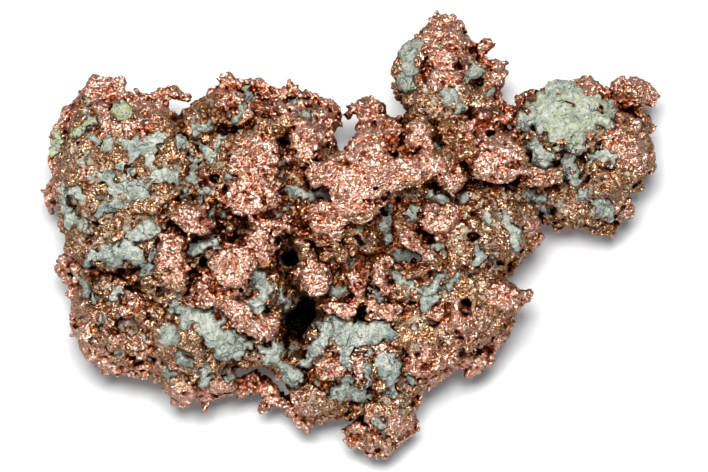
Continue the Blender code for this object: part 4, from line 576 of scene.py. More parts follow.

# A crust patch is how far it stands off the masses (mm), how yellow and how dark it is (0 to 1), and a
# chain of discs seen from above, each (x, y, radius). The darkness is partly the crust's own tone and
# partly painted shade for patches that lie in recesses.
CRUST = {
    "right_plate": (0.45, 0.35, 0.04, [(30, 19, 3.4), (33, 18.2, 4.2), (32.6, 15.6, 3.4), (34, 13.6, 1.7)]),
    "right_plate_wing": (0.45, 0.3, 0, [(34, 18.5, 3), (37.9, 18.5, 1.9), (38.2, 16.3, 0.9)]),
    "right_plate_crown": (0.5, 0, 0, [(30.6, 19.5, 2.4), (30.4, 22, 1.6), (31.6, 22.2, 1)]),
    "right_plate_tail": (0.4, 0.1, 0, [(29, 17.5, 1.8), (26, 17.3, 1.4)]),
    "right_wedge": (0.3, 0, 0.1, [(26.8, 13.3, 0.9), (28, 12.6, 1.4), (29.2, 11.6, 1.5)]),
    "right_fin": (0.7, 0, 0.3, [(32.4, 10.8, 0.9), (33, 9.2, 1.2), (33.6, 7.8, 0.7)]),
    "right_star": (0.3, 0, 0, [(35.6, 11.8, 0.6), (37, 12.4, 1), (39, 11.6, 0.6)]),
    "right_smear": (0.2, 0, 0.3, [(26.3, 5.6, 0.9), (28.4, 5.2, 1.1), (30, 5.9, 0.8)]),
    "right_smear_b": (0.1, 0, 0.4, [(28.8, 3.3, 0.8), (30.2, 2.3, 0.6)]),
    "right_drop": (0.3, 0.05, 0, [(36.6, 4.8, 0.8), (38, 3.9, 1.1), (39.2, 2.3, 0.7)]),
    "right_dot": (0.3, 0, 0.1, [(34.8, 5.8, 0.9)]),
    "saddle": (0.25, 0, 0, [(-34.2, 13.5, 0.7), (-32.2, 13.4, 1.3), (-30, 13.6, 1.5), (-27.9, 14.7, 1)]),
    "saddle_west": (0.25, 0, 0, [(-31.6, 12.8, 1.3), (-32, 11.2, 1), (-33.6, 10.6, 1), (-33, 8.6, 1.2),
                                 (-31.8, 7.4, 1.3), (-30.6, 6, 1.2)]),
    "saddle_east": (0.25, 0, 0, [(-30, 12.6, 1.2), (-29, 10.8, 0.8), (-28.6, 9.2, 0.9), (-26.2, 8.9, 1)]),
    "saddle_foot": (0.25, 0, 0, [(-35.4, 6.8, 0.8), (-32.6, 6.6, 1.1), (-30.4, 7.9, 1), (-28.2, 8.8, 0.9)]),
    "tongue": (0.4, 0, 0, [(-37.8, 3.4, 0.8), (-36.2, 4.1, 1.1), (-34.4, 5.1, 1)]),
    "shelf": (0.7, 0, 0, [(-39, -3.8, 0.9), (-36.6, -2.9, 1.4), (-34, -2.5, 1.5), (-31.2, -3.6, 1.1)]),
    "shelf_rise": (0.6, 0, 0, [(-32.2, -0.6, 1.1), (-30.6, 0.6, 1.6), (-29.2, 1.2, 0.8)]),
    "lichen_a": (0.3, 0.9, 0, [(-40.9, 15, 0.8), (-40.3, 15.9, 1.1), (-39.3, 17, 0.6)]),
    "lichen_b": (0.3, 0.7, 0, [(-43.9, 15.2, 0.7), (-43.9, 13.3, 0.9), (-44.2, 12, 0.6)]),
    "lichen_c": (0.25, 0.6, 0, [(-39.6, 19, 0.5), (-39.4, 20.3, 0.6)]),
    "lichen_d": (0.25, 0.6, 0, [(-38.5, 17.3, 0.55)]),
    "west_smear": (0.25, 0.25, 0, [(-40.4, 11, 0.8), (-39, 11.9, 0.8)]),
    "west_smear_b": (0.2, 0.1, 0.2, [(-38, 14.4, 0.9), (-36.7, 13.2, 1)]),
    "west_strip": (0.3, 0.1, 0, [(-42.6, 8.2, 0.6), (-43, 6.2, 0.7), (-42.8, 4, 0.7), (-42, 1.6, 0.9)]),
    "west_patch": (0.3, 0, 0, [(-40.8, 6.9, 0.9), (-40, 5.6, 0.9)]),
    "west_patch_b": (0.25, 0.25, 0, [(-41.4, 2.2, 0.9), (-39.8, 1.6, 0.7)]),
    "west_patch_c": (0.25, 0.2, 0, [(-36.9, 8.6, 1), (-35.6, 7.8, 0.8)]),
    "north_chip": (0.4, 0, 0, [(-22.7, 16.3, 0.9), (-21.6, 16.2, 0.9)]),
    "north_smear": (0.2, 0, 0.1, [(-25, 14.2, 0.9), (-24.2, 13.2, 0.6)]),
    "north_vee": (0.2, 0.05, 0, [(-22.3, 13.9, 0.45), (-21, 11.5, 0.7), (-20, 13.8, 0.6)]),
    "north_run": (0.15, 0, 0.1, [(-23.2, 11.2, 0.8), (-23.6, 9.6, 0.6), (-23, 8, 0.6)]),
    "dome_edge": (0.2, 0, 0, [(-24.7, 6.9, 0.6), (-24.3, 6, 0.7)]),
    "dome_edge_b": (0.25, 0, 0, [(-22, 5.3, 0.6), (-21.2, 6.6, 0.6)]),
    "crest_strip": (0.2, 0.35, 0.3, [(-15.4, 22.4, 0.6), (-15.3, 20.6, 0.7), (-16.2, 18.2, 0.8)]),
    "crest_strip_b": (0.3, 0.1, 0.3, [(-8.2, 19.8, 0.8), (-7.2, 18.3, 0.7)]),
    "crest_strip_c": (0.3, 0.3, 0.2, [(-6.4, 20, 0.6)]),
    "green_pit": (0.1, 0.1, 0.35, [(-19.6, 4.6, 0.9), (-18.6, 3.8, 0.8), (-20.8, 2.9, 0.6)]),
    "middle_fan": (0.45, 0, 0.15, [(-9.6, 7.4, 0.9), (-8, 6.6, 1.6), (-6.8, 5.8, 1.2)]),
    "middle_fan_tail": (0.3, 0, 0, [(-9.7, 4.6, 0.4), (-10.3, 3.5, 0.8)]),
    "middle_dark": (0.3, 0, 0.6, [(-4.6, 6.4, 0.9), (-3.6, 5.6, 0.8)]),
    "slot_chip": (0.4, 0.1, 0.4, [(-11.4, 11.2, 0.8)]),
    "gully_a": (0.3, 0, 0.4, [(5.6, 3.6, 1), (5, 1.8, 0.9), (5.2, -0.6, 1)]),
    "gully_b": (0.3, 0, 0.35, [(9.5, 3, 1.1)]),
    "gully_c": (0.3, 0, 0.3, [(12, 6.2, 0.8), (13.8, 4.8, 1)]),
    "gully_d": (0.3, 0, 0.3, [(17.1, 5.9, 0.9)]),
    "peak_foot": (0.4, 0.05, 0, [(16.4, 18.4, 0.9), (15.6, 19.2, 0.8)]),
    "peak_foot_b": (0.4, 0, 0.1, [(13.4, 20.6, 0.8), (14.6, 21.4, 0.9)]),
    "peak_flank": (0.45, 0.15, 0.25, [(9.6, 28.8, 0.7), (8.8, 27.2, 1.3), (8.4, 24.9, 1.5),
                                      (8.8, 22.6, 1.3)]),
    "peak_flank_b": (0.4, 0.6, 0.1, [(7.6, 23.8, 0.6)]),
    "peak_shoulder": (0.3, 0.1, 0.3, [(18, 23.6, 0.7), (19, 24.6, 1), (18.4, 25.4, 0.6)]),
    "peak_shoulder_b": (0.3, 0.1, 0.1, [(20.8, 21.4, 0.7)]),
    "cleft_a": (0.2, 0, 0.2, [(12.8, 12.9, 0.7), (12.3, 14.4, 0.5)]),
    "cleft_b": (0.2, 0, 0.2, [(16.8, 10.9, 0.6)]),
    "shade_a": (0.2, 0, 0.75, [(6.8, -2.6, 0.9), (8, -4, 1)]),
    "shade_b": (0.2, 0, 0.8, [(9.4, -2.6, 1), (10.2, -3.4, 0.6)]),
    "shade_c": (0.4, 0, 0.4, [(13.2, -1.7, 0.8)]),
    "sliver": (0.5, 0, 0, [(6.6, -5.9, 0.5), (8.6, -7.2, 0.7), (10.2, -8, 0.5)]),
    "blade": (0.6, 0, 0, [(12.9, -6.4, 0.9), (11.9, -8.4, 1.2), (10.8, -10.9, 0.9)]),
    "blade_b": (0.5, 0, 0, [(14.6, -7.6, 0.5), (16, -6.2, 0.7)]),
    "blade_c": (0.4, 0, 0.1, [(18.6, -4.6, 0.6), (19.6, -2.6, 0.8)]),
    "east_patch": (0.4, 0, 0, [(23.8, 1.9, 0.8), (24.2, 0.2, 1.2), (24.6, -1.3, 0.8)]),
    "east_patch_b": (0.3, 0.1, 0.1, [(20.4, 2.7, 0.7)]),
    "chasm_wall": (0.5, 0, 0.1, [(-13.6, -6.4, 1), (-12.6, -7.6, 1.2), (-13.4, -9.6, 1.3),
                                 (-14, -10.8, 1)]),
    "chasm_wall_b": (0.5, 0, 0.15, [(-10, -8.8, 0.7), (-9.8, -10.4, 0.7)]),
    "low_plate": (0.5, 0.05, 0, [(-24.2, -12.2, 1.6), (-21.6, -12.6, 1.9), (-19.4, -14.4, 1.8),
                                 (-16.8, -16, 1.5)]),
    "low_plate_tail": (0.5, 0, 0, [(-22.4, -14.2, 1), (-20.4, -15.8, 0.9), (-18.2, -17.6, 1.2),
                                   (-15.6, -16.4, 0.9)]),
    "chip_low_a": (0.5, 0, 0.2, [(-26.4, -10.6, 0.8), (-25.4, -11, 0.8)]),
    "chasm_foot": (0.5, 0.05, 0, [(-13, -16.2, 1.2), (-11.6, -17.2, 1.6), (-11.8, -18.4, 1.2)]),
    "chasm_foot_b": (0.5, 0, 0.05, [(-10.2, -19.6, 0.9), (-8.6, -21.2, 1.2), (-7.6, -21.8, 0.7)]),
    "west_streak": (0.3, 0.05, 0.15, [(-40.4, -6.8, 0.5), (-39.4, -8.4, 0.7), (-38.3, -9.6, 0.5)]),
    "west_chip": (0.3, 0, 0, [(-34.3, -8.1, 0.8), (-35.9, -9.6, 0.6)]),
    "west_chip_b": (0.4, 0, 0.3, [(-31, -5.8, 0.6), (-28.2, -1.4, 0.6)]),
    "arch": (0.5, 0, 0.1, [(-23.6, -1.8, 1.1), (-22, -1, 1.2), (-20.4, -1.6, 0.9)]),
    "low_chip_b": (0.3, 0, 0.1, [(-37.2, -12.5, 0.6)]),
    "low_chip_c": (0.3, 0, 0.2, [(-35.5, -16.8, 0.7)]),
    "low_chip_d": (0.3, 0.1, 0.1, [(-31.2, -15.4, 0.9)]),
    "toe_patch": (0.3, 0, 0.15, [(-27, -20.9, 0.8)]),
    "toe_patch_b": (0.4, 0, 0.1, [(-21.7, -20.2, 1.1), (-21.9, -22, 0.9)]),
    "toe_patch_c": (0.3, 0.05, 0.3, [(-18.1, -21.5, 0.9)]),
    "toe_patch_d": (0.3, 0.2, 0.2, [(-25.4, -18, 0.7), (-24.2, -19.4, 0.7)]),
    "basin": (0.35, 0, 0, [(-4.6, -13.6, 1), (-2.6, -13.2, 1.6), (-0.4, -14.2, 1.9), (1.6, -15, 1.9),
                           (4, -14.4, 1.8), (5.8, -14.4, 1.5)]),
    "basin_west": (0.35, 0, 0, [(-3.6, -14.4, 1.3), (-4.6, -16, 0.9), (-5.4, -17.8, 1.2),
                                (-6.9, -19, 0.8)]),
    "basin_south": (0.35, 0, 0, [(-0.6, -16.2, 1.4), (-0.9, -17.8, 1), (-0.6, -20.4, 0.9),
                                 (-0.2, -21.8, 1)]),
    "gutter_a": (0.35, 0, 0, [(2.6, -18, 0.9), (2.7, -20.2, 1), (2.2, -22.2, 0.8)]),
    "gutter_b": (0.35, 0, 0, [(4.4, -18.8, 0.9), (5.4, -18.8, 1.5), (6, -20.6, 1.3), (6.4, -23.2, 0.9),
                              (6.6, -24.6, 0.5)]),
    "foot_patch": (0.35, 0.05, 0.05, [(-2.8, -24.2, 0.8), (-1.4, -23.6, 1.3), (0.4, -22.9, 1),
                                      (2, -24.2, 0.9)]),
    "tail_run": (0.3, 0, 0.1, [(3, -25.6, 0.5), (3.6, -27.6, 0.6), (5, -28.4, 0.7), (5.7, -29.6, 0.35)]),
    "tail_chip": (0.3, 0, 0.1, [(8.2, -23.7, 0.7)]),
    "foot_chip": (0.4, 0, 0.05, [(-7.7, -25, 0.7)]),
    "south_chip": (0.3, 0, 0.1, [(9.9, -14.2, 0.7)]),
    "mid_chip_a": (0.4, 0, 0.1, [(0.4, -4, 0.45), (1, -5.3, 0.4)]),
    "mid_chip_b": (0.2, 0, 0.35, [(-2.6, -8.4, 0.9), (-1.2, -8.6, 0.6)]),
    "mid_chip_c": (0.2, 0, 0.3, [(4.5, -9.6, 0.7), (3.2, -8.6, 0.6)]),
    "south_rim": (0.3, 0, 0.1, [(9, -22, 0.6)]),
}

# A button is a round bead of crust: how much of its radius stands off the skin, how yellow, how dark (its
# own tone and painted shade, as for a patch), and its (x, y, radius).
BUTTONS = {
    "disc": (0.35, 0.8, 0.12, (-34, 18.6, 1.5)),
    "pearl": (0.4, 0, 0.05, (-18.1, 8.7, 0.85)),
    "low_button": (0.35, 0.05, 0.25, (-27, -14.7, 1.75)),
    "ringed_a": (0.35, 0.1, 0.1, (-32.35, 9.5, 0.85)),
    "ringed_b": (0.35, 0, 0.15, (-30.45, 10.3, 0.7)),
    "left_bead": (0.3, 0.1, 0.1, (-37.6, 9.2, 0.6)),
    "low_bead": (0.3, 0, 0.2, (-29, -8.6, 0.5)),
    "east_bead": (0.3, 0, 0.1, (34.8, 5.8, 0.6)),
}

# Under the nugget the crust lies in the same way.
CRUST_BELOW = {
    "below_a": (0.3, 0.1, 0.1, [(-36, 12, 2.2), (-33, 13, 2), (-30.5, 15, 1.2)]),
    "below_b": (0.3, 0, 0.2, [(-20, -3, 1.8), (-17, -2, 2.4), (-14, 0, 1.6)]),
    "below_c": (0.3, 0.3, 0, [(-28, -15, 1.6), (-25, -17.5, 1.8)]),
    "below_d": (0.3, 0, 0.1, [(-3, 12, 1.8), (0, 13, 1.4), (1, 10.5, 1.6)]),
    "below_e": (0.3, 0, 0, [(10, -8, 2.4), (13, -10, 2), (12, -13, 1.4)]),
    "below_f": (0.3, 0.4, 0, [(26, 9, 1.6), (27, 13, 1.8)]),
    "below_g": (0.3, 0, 0.1, [(37, 6, 1.6), (40, 9, 1.4)]),
    "below_h": (0.3, 0.1, 0.2, [(12, 27, 1.4), (14, 25, 1.8)]),
    "below_i": (0.3, 0, 0, [(-4, -20, 1.6), (-2, -24, 1.4)]),
    "below_j": (0.3, 0, 0.1, [(-41, 5, 1.4), (-40, 1, 1.2)]),
    "below_k": (0.3, 0.1, 0.1, [(-14, 17, 1.8), (-10, 18, 1.2)]),
    "below_l": (0.3, 0, 0.1, [(22, -5, 1.4), (20, -8, 1.2)]),
}

# Where the copper is bright and pink, darkly tarnished, and brown and golden, seen from above:
# (x, y, half length along X, half length along Y).
PINK = [
    (-14.3, 12, 3.6, 3.4), (-7, 13, 2.8, 4.2), (-14.6, 5.8, 4.4, 3.2), (1, 7.6, 6, 4.4),
    (3, 13.4, 3.2, 2.8), (6, 15.6, 2, 2.6), (9.8, 13.6, 2.2, 3.6), (10.5, 10, 4.6, 1.8), (14.9, 8.8, 2, 2),
    (22.2, 11, 3.8, 3.4), (28.4, 8.9, 3.8, 1.7), (-23.6, 2.2, 3.2, 2.4), (-26.2, -3, 2.4, 4),
    (-17.4, -4.8, 3.2, 3.8), (-13.2, -0.8, 2.2, 3.4), (-10, 1.7, 2.6, 1.2), (-21.8, -8, 2.8, 3),
    (-17.5, -11.6, 2.8, 2.2), (-13, -14.6, 2.4, 3), (-4, 2.3, 3.4, 2.8), (-5.4, -6.3, 2.8, 2.6),
    (-1.2, -10.6, 2.6, 1.8), (0.8, -6.6, 1.6, 3), (4.8, -11.2, 2.8, 1.4), (10, -1.6, 4, 2.6),
    (13.6, 2.2, 3.2, 2.8), (5.2, -6, 1.8, 3), (23.4, -9, 3.8, 2.2), (18, -16, 4.6, 3.4),
    (16, -12, 4.4, 2.4), (12.2, -19.2, 3.6, 2.6), (-2.9, -19, 2, 2.2), (0.9, -19.2, 1.4, 2.4),
    (4.5, -17, 2.6, 1), (-37, 17.2, 2.6, 2.4), (-31.6, 16.4, 3, 2), (-36.6, 21.8, 3.6, 1.8),
    (-39.2, 9.4, 1.3, 1.1), (-21.6, 9, 1.2, 1.1), (14.6, 27, 4.6, 5.8), (20, 27.6, 1.6, 2),
    (22.2, 23.6, 1.6, 3), (42.4, 21.4, 3.6, 2.8), (41.4, 14.4, 3.6, 5), (40.2, 4.4, 2.4, 2.4),
    (35, 22.4, 2.6, 1.4), (4.8, -30, 5.4, 3.6), (-7, -27, 2.2, 1.8), (-45, 6.5, 1.2, 2.2),
    (-29, 20.4, 5, 1.8), (-15.5, 20.5, 4, 3.4), (-10, 20, 4.4, 2.4), (2.2, 18.6, 3.4, 2.2),
    (-12, -23.6, 5, 2.4), (-43, -5, 2.4, 2), (-40.6, -13, 1.8, 4), (-3.2, 17, 2, 3.2),
    (21.2, 16.2, 4.6, 2.6), (27.8, 1, 2, 2.2), (-41, -8, 1.6, 3), (-38.6, -18.6, 3.2, 2.6),
    (-34, -12, 5, 5), (-28.6, -18.4, 5, 3), (-32, -20.8, 4, 2), (-25.6, -24.6, 3.6, 2.2),
    (-19.6, -23.6, 3, 2), (-43, 20, 2, 4),
]
TARNISHED = [
    (36, 6, 9, 7), (35, 3, 8, 5), (-34, -12, 5.5, 5), (-28, -18.6, 5, 3), (42.4, 17, 3.4, 5),
    (19.5, -2.4, 7, 4.2), (28, 17, 2.6, 6), (-38.6, -9.6, 3.6, 5), (12, 19.4, 5, 2.2),
    (4.8, -30.6, 4.6, 1.6), (31, 3, 4, 3), (20, -13.6, 3.2, 4.4), (15.6, -16.4, 2.8, 2.6),
]
GOLDEN = [
    (-28.6, 3.6, 2.4, 1.6), (-25.8, 10.8, 2.4, 3), (-30.2, -17, 2.4, 1.6), (-4.4, -22.6, 2.6, 2),
    (8.4, -16, 1.8, 2.6), (10.5, -9.4, 3, 2.4), (42.2, 20.9, 2.4, 2), (-5.6, -1.6, 2.4, 2.6),
    (-17.4, 15.6, 4, 3.2), (36.4, 6.8, 4.6, 2.8), (-35, -13.6, 4, 4), (-30, 10.6, 2.2, 1.6),
    (3.2, -27.4, 3, 1.6), (16.4, 28.6, 1.4, 1.4), (-25, -20.6, 3.4, 2.6), (12.8, -11.6, 3, 2),
]


# ---------------------------------------------------------------------------------------------
# Shape: distances on a lattice of points, in millimetres, below zero inside the metal
# ---------------------------------------------------------------------------------------------


class Lattice:
    """A box of evenly spaced points with a distance at each of them."""

    def __init__(self, cell, low=LATTICE_LOW, high=LATTICE_HIGH):
        self.cell = cell
        self.low = np.array(low, dtype=np.float32)
        count = np.ceil((np.array(high) - self.low) / cell).astype(int) + 1
        self.axes = [(self.low[i] + cell * np.arange(count[i])).astype(np.float32) for i in range(3)]
        self.count = count

    def empty(self):
        """Distances for a lattice with nothing in it."""
        return np.full(self.count, FAR_AWAY, dtype=np.float32)

    def window(self, low, high):
        """The part of the lattice between two corners: its slices and its X, Y and Z, ready to combine."""
        first = np.clip(np.floor((low - self.low) / self.cell).astype(int), 0, self.count)
        last = np.clip(np.ceil((high - self.low) / self.cell).astype(int) + 1, 0, self.count)
        part = tuple(slice(a, b) for a, b in zip(first, last))
        x, y, z = (axis[s] for axis, s in zip(self.axes, part))
        return part, x[:, None, None], y[None, :, None], z[None, None, :]

    def sample(self, values, points):
        """Values at any points, mixed from the eight lattice points round each: trilinear."""
        place = np.clip((points - self.low) / self.cell, 0, self.count - 1.001)
        base = place.astype(int)
        share = (place - base).astype(np.float32)
        out = np.zeros(len(points), dtype=np.float32)
        for corner in np.ndindex(2, 2, 2):
            weight = np.prod(np.where(corner, share, 1 - share), axis=1)
            out += weight * values[tuple((base + corner).T)]
        return out


def soft_union(a, b, blend):
    """Two solids run together: with h = clip(1/2 + (b - a) / 2k, 0, 1), the distance is
    b + (a - b) h - k h (1 - h), the nearer of the two, eased over the blend k."""
    h = np.clip(0.5 + 0.5 * (b - a) / blend, 0, 1)
    return b + (a - b) * h - blend * h * (1 - h)


def egg_distance(x, y, z, egg):
    """Distance to an egg of half lengths r: with p the place from its centre, a = |p / r| and
    b = |p / r squared|, it is a (a - 1) / b. A worn egg ends softly at a level above its centre, and below
    that cap it narrows, evenly over the neck's height, by the neck's share."""
    px, py, pz = x - egg[0], y - egg[1], z - egg[2]
    if len(egg) > 6:
        narrow = 1 + NECK_SHARE * np.clip((NECK_LEVEL * egg[5] - pz) / NECK_HEIGHT, 0, 1)
        px, py = px * narrow, py * narrow
    a = np.sqrt((px / egg[3]) ** 2 + (py / egg[4]) ** 2 + (pz / egg[5]) ** 2)
    b = np.sqrt((px / egg[3] ** 2) ** 2 + (py / egg[4] ** 2) ** 2 + (pz / egg[5] ** 2) ** 2)
    gap = a * (a - 1) / np.maximum(b, 1e-6)
    return -soft_union(-gap, egg[6] * egg[5] - pz, WORN_BLEND) if len(egg) > 6 else gap


def bar_distance(x, y, z, start, end):
    """Distance to a tapered bar: how far the point is from the line between two knots, less the
    radius there, which goes evenly from the first knot's to the second's."""
    a, run = np.array(start[:3]), np.array(end[:3]) - np.array(start[:3])
    t = ((x - a[0]) * run[0] + (y - a[1]) * run[1] + (z - a[2]) * run[2]) / max(run @ run, 1e-9)
    t = np.clip(t, 0, 1)
    off = np.sqrt((x - a[0] - t * run[0]) ** 2 + (y - a[1] - t * run[1]) ** 2 + (z - a[2] - t * run[2]) ** 2)
    return off - (start[3] + (end[3] - start[3]) * t)


def add_eggs(lattice, field, groups, blend):
    """Run every egg of the groups into the field."""
    for eggs in groups.values():
        for egg in eggs:
            centre, half = np.array(egg[:3]), np.array(egg[3:6])
            part, x, y, z = lattice.window(centre - half - blend - 1, centre + half + blend + 1)
            field[part] = soft_union(field[part], egg_distance(x, y, z, egg), blend)


def chain_bars(chains):
    """Each bar of each chain, as its two knots."""
    for knots in chains.values():
        yield from zip(knots, knots[1:] or knots)


def hollow_bars():
    """Every bar that is taken out of the metal: the hollows' own, and each notch's, straight down."""
    yield from chain_bars(HOLLOWS)
    for x, y, radius in NOTCHES.values():
        yield (x, y, NOTCH_FOOT, radius), (x, y, NOTCH_TOP, radius)


def add_bars(lattice, field, bars, blend, hollow=False):
    """Run every bar into the field or, for a hollow, take it out of the field."""
    for start, end in bars:
        a, b = np.array(start[:3]), np.array(end[:3])
        reach = max(start[3], end[3]) + blend + 1
        part, x, y, z = lattice.window(np.minimum(a, b) - reach, np.maximum(a, b) + reach)
        gap = bar_distance(x, y, z, start, end)
        if hollow:
            field[part] = -soft_union(-field[part], gap, blend)
        else:
            field[part] = soft_union(field[part], gap, blend)


def net(lattice, field):
    """The skin where the distance is zero. Each cell that the skin passes through gets one point, the
    mean of the places where the skin crosses the cell's edges, and each lattice edge that the skin
    crosses gets one face, round the four cells that share the edge."""
    solid = field < 0
    corners = list(np.ndindex(2, 2, 2))
    size = [n - 1 for n in solid.shape]

    def shifted(values, corner):
        return values[corner[0]:corner[0] + size[0], corner[1]:corner[1] + size[1],
                      corner[2]:corner[2] + size[2]]

    total = sum(shifted(solid, corner).astype(np.uint8) for corner in corners)
    cells = np.argwhere((total > 0) & (total < 8))
    number = np.full(size, -1, dtype=np.int32)
    number[tuple(cells.T)] = np.arange(len(cells))
    values = {corner: field[tuple((cells + corner).T)] for corner in corners}
    place = np.zeros((len(cells), 3), dtype=np.float32)
    crossings = np.zeros(len(cells), dtype=np.float32)
    for corner in corners:
        for axis in range(3):
            if corner[axis]:
                continue
            other = tuple(c + (i == axis) for i, c in enumerate(corner))
            a, b = values[corner], values[other]
            crossed = (a < 0) != (b < 0)
            along = np.where(crossed, a / np.where(crossed, a - b, 1), 0)
            spot = np.tile(np.array(corner, dtype=np.float32), (len(cells), 1))
            spot[:, axis] += along
            place += np.where(crossed[:, None], spot, 0)
            crossings += crossed
    points = lattice.low + (cells + place / crossings[:, None]) * lattice.cell
    faces = []
    for axis in range(3):
        u, v = (axis + 1) % 3, (axis + 2) % 3
        ahead = [slice(None)] * 3
        behind = [slice(None)] * 3
        ahead[axis], behind[axis] = slice(1, None), slice(None, -1)
        change = solid[tuple(ahead)].astype(np.int8) - solid[tuple(behind)]
        edges = np.argwhere(change != 0)
        edges = edges[(edges[:, u] > 0) & (edges[:, v] > 0)]
        edges = edges[(edges[:, u] < size[u]) & (edges[:, v] < size[v])]
        inward = change[tuple(edges.T)] > 0
        ring = []
        for du, dv in ((1, 1), (0, 1), (0, 0), (1, 0)):
            cell = edges.copy()
            cell[:, u] -= du
            cell[:, v] -= dv
            ring.append(number[tuple(cell.T)])
        quads = np.stack(ring, axis=1)
        quads[inward] = quads[inward][:, ::-1]
        faces.append(quads)
    return points, np.concatenate(faces)


def outward(points, faces):
    """The direction out of the skin at each point: the sum of its faces' cross products, made one long."""
    ring = [points[faces[:, i]] for i in range(faces.shape[1])]
    cross = np.cross(ring[2] - ring[0], ring[-1] - ring[1])
    out = np.zeros_like(points)
    for axis in range(3):
        for corner in range(faces.shape[1]):
            out[:, axis] += np.bincount(faces[:, corner], cross[:, axis], minlength=len(points))
    return out / np.maximum(np.linalg.norm(out, axis=1, keepdims=True), 1e-9)


def neighbour_mean(values, faces):
    """For each point, the mean of the values at the points next to it along the faces' edges."""
    total = np.zeros_like(values)
    count = np.zeros(len(values), dtype=np.float32)
    for corner in range(faces.shape[1]):
        here, ahead = faces[:, corner], faces[:, (corner + 1) % faces.shape[1]]
        for at, other in ((here, ahead), (ahead, here)):
            count += np.bincount(at, minlength=len(values))
            for axis in range(values.shape[1]):
                total[:, axis] += np.bincount(at, values[other, axis], minlength=len(values))
    return total / np.maximum(count, 1)[:, None]


# ---------------------------------------------------------------------------------------------
# Grain: noise worked out for whole arrays of points
# ---------------------------------------------------------------------------------------------


def scramble(x, y, z, seed):
    """A whole number that looks random for each lattice point, the same on every run."""
    n = sum(part.astype(np.uint32) * factor for part, factor in zip((x, y, z), PLACE_FACTORS))
    n = n + np.uint32(seed) * SEED_FACTOR
    for shift, factor in STIRS:
        n = (n ^ (n >> shift)) * factor
    return n ^ (n >> LAST_SHIFT)


def wavy(points, size, seed):
    """Gradient noise from about -1 to 1 with bumps of the given size: at each corner of the unit cell,
    a random slope times the way to it, mixed by the curve 6t^5 - 15t^4 + 10t^3."""
    place = points / size + NOISE_ORIGIN
    base = np.floor(place).astype(np.int64)
    t = (place - base).astype(np.float32)
    ease = t * t * t * (t * (t * 6 - 15) + 10)
    out = np.zeros(len(points), dtype=np.float32)
    for i, j, k in np.ndindex(2, 2, 2):
        code = scramble(base[:, 0] + i, base[:, 1] + j, base[:, 2] + k, seed)
        slope = [((code >> np.uint32(shift)) & np.uint32(1023)) / 511.5 - 1 for shift in (0, 10, 20)]
        lean = slope[0] * (t[:, 0] - i) + slope[1] * (t[:, 1] - j) + slope[2] * (t[:, 2] - k)
        weight = (np.abs(1 - i - ease[:, 0]) * np.abs(1 - j - ease[:, 1]) * np.abs(1 - k - ease[:, 2]))
        out += weight * lean
    return out * NOISE_GAIN


def creased(points, size, seed):
    """Round bumps with sharp creases between them, from 0 in a crease to about 1: |noise|, spread."""
    return np.minimum(np.abs(wavy(points, size, seed)) * CREASE_GAIN, CREASE_TOP)


def ridged(points, size, seed):
    """Sharp crests with round hollows between them, from 0 to 1 on a crest: 1 - |noise|, spread."""
    return 1 - creased(points, size, seed)


def warped(points, size, amount, seed):
    """The points pushed about by noise, so that a pattern read there isn't even."""
    push = np.stack([wavy(points, size, seed + i) for i in range(3)], axis=1)
    return points + push * amount


def smooth_step(low, high, values):
    """0 below low, 1 above high, and 3t^2 - 2t^3 between them."""
    t = np.clip((values - low) / (high - low), 0, 1)
    return t * t * (3 - 2 * t)


# ---------------------------------------------------------------------------------------------
# Growth: knobs and pits seeded on the skin
# ---------------------------------------------------------------------------------------------


def seed_spots(lattice, field, count, low, high, sunk, rng):
    """Balls seeded on the skin and the skin's outward directions there: the centres lie inside the skin
    by a share of their radius, and the radii lie between low and high, with more small than large."""
    points, faces = net(lattice, field)
    way = outward(points, faces)
    chosen = rng.choice(len(points), size=min(count, len(points)), replace=False)
    radius = low + (high - low) * rng.random(len(chosen)) ** SMALL_BIAS
    centre = points[chosen] - way[chosen] * (radius * sunk)[:, None]
    return np.column_stack([centre, radius]), way[chosen]


def seed_branches(spots, way, reach, stand, rng):
    """Turn each ball into a short bar, thinner at its far end, that points any way it likes, but with
    its lean out of the skin scaled by the share it may stand up."""
    turn = rng.normal(size=(len(spots), 3))
    turn -= way * (np.einsum("ij,ij->i", turn, way) * (1 - stand))[:, None]
    turn /= np.linalg.norm(turn, axis=1, keepdims=True)
    ends = spots[:, :3] + turn * (spots[:, 3] * reach)[:, None]
    return list(zip(spots, np.column_stack([ends, spots[:, 3] * TIP_SHARE])))


def ragged_plan(points):
    """The points seen from above, pushed about by noise so that every patch has a ragged edge, and how
    much further in or out the edge's finest teeth move each point."""
    flat = points[:, :3] * np.array([1, 1, 0], dtype=np.float32)
    for (size, amount), seed in zip(EDGE_PUSHES, (SEED + 31, SEED + 35)):
        flat = warped(flat, size, amount, seed)
    teeth = EDGE_CREASE[1] * (creased(flat, EDGE_CREASE[0], SEED + 38) - CREASE_MEAN)
    teeth += EDGE_WAVE[1] * wavy(flat, EDGE_WAVE[0], SEED + 39)
    return flat[:, 0], flat[:, 1], teeth


def chain_depth(x, y, discs):
    """How far inside a chain of discs each point is: the greatest radius less the distance."""
    depth = np.full(x.shape, -FAR_AWAY, dtype=np.float32)
    for (ax, ay, ar), (bx, by, br) in zip(discs, discs[1:] or discs):
        ux, uy = bx - ax, by - ay
        t = np.clip(((x - ax) * ux + (y - ay) * uy) / max(ux * ux + uy * uy, 1e-9), 0, 1)
        depth = np.maximum(depth, ar + (br - ar) * t - np.hypot(x - ax - t * ux, y - ay - t * uy))
    return depth


def crust_depth(points, patches=CRUST):
    """How far inside the nearest crust patch each point is, seen from above, in millimetres."""
    x, y, teeth = ragged_plan(points)
    depth = np.full(len(points), -FAR_AWAY, dtype=np.float32)
    for _, _, _, discs in patches.values():
        depth = np.maximum(depth, chain_depth(x, y, discs))
    return depth + teeth
# ---------------------------------------------------------------------------------------------
# Pieces
# ---------------------------------------------------------------------------------------------


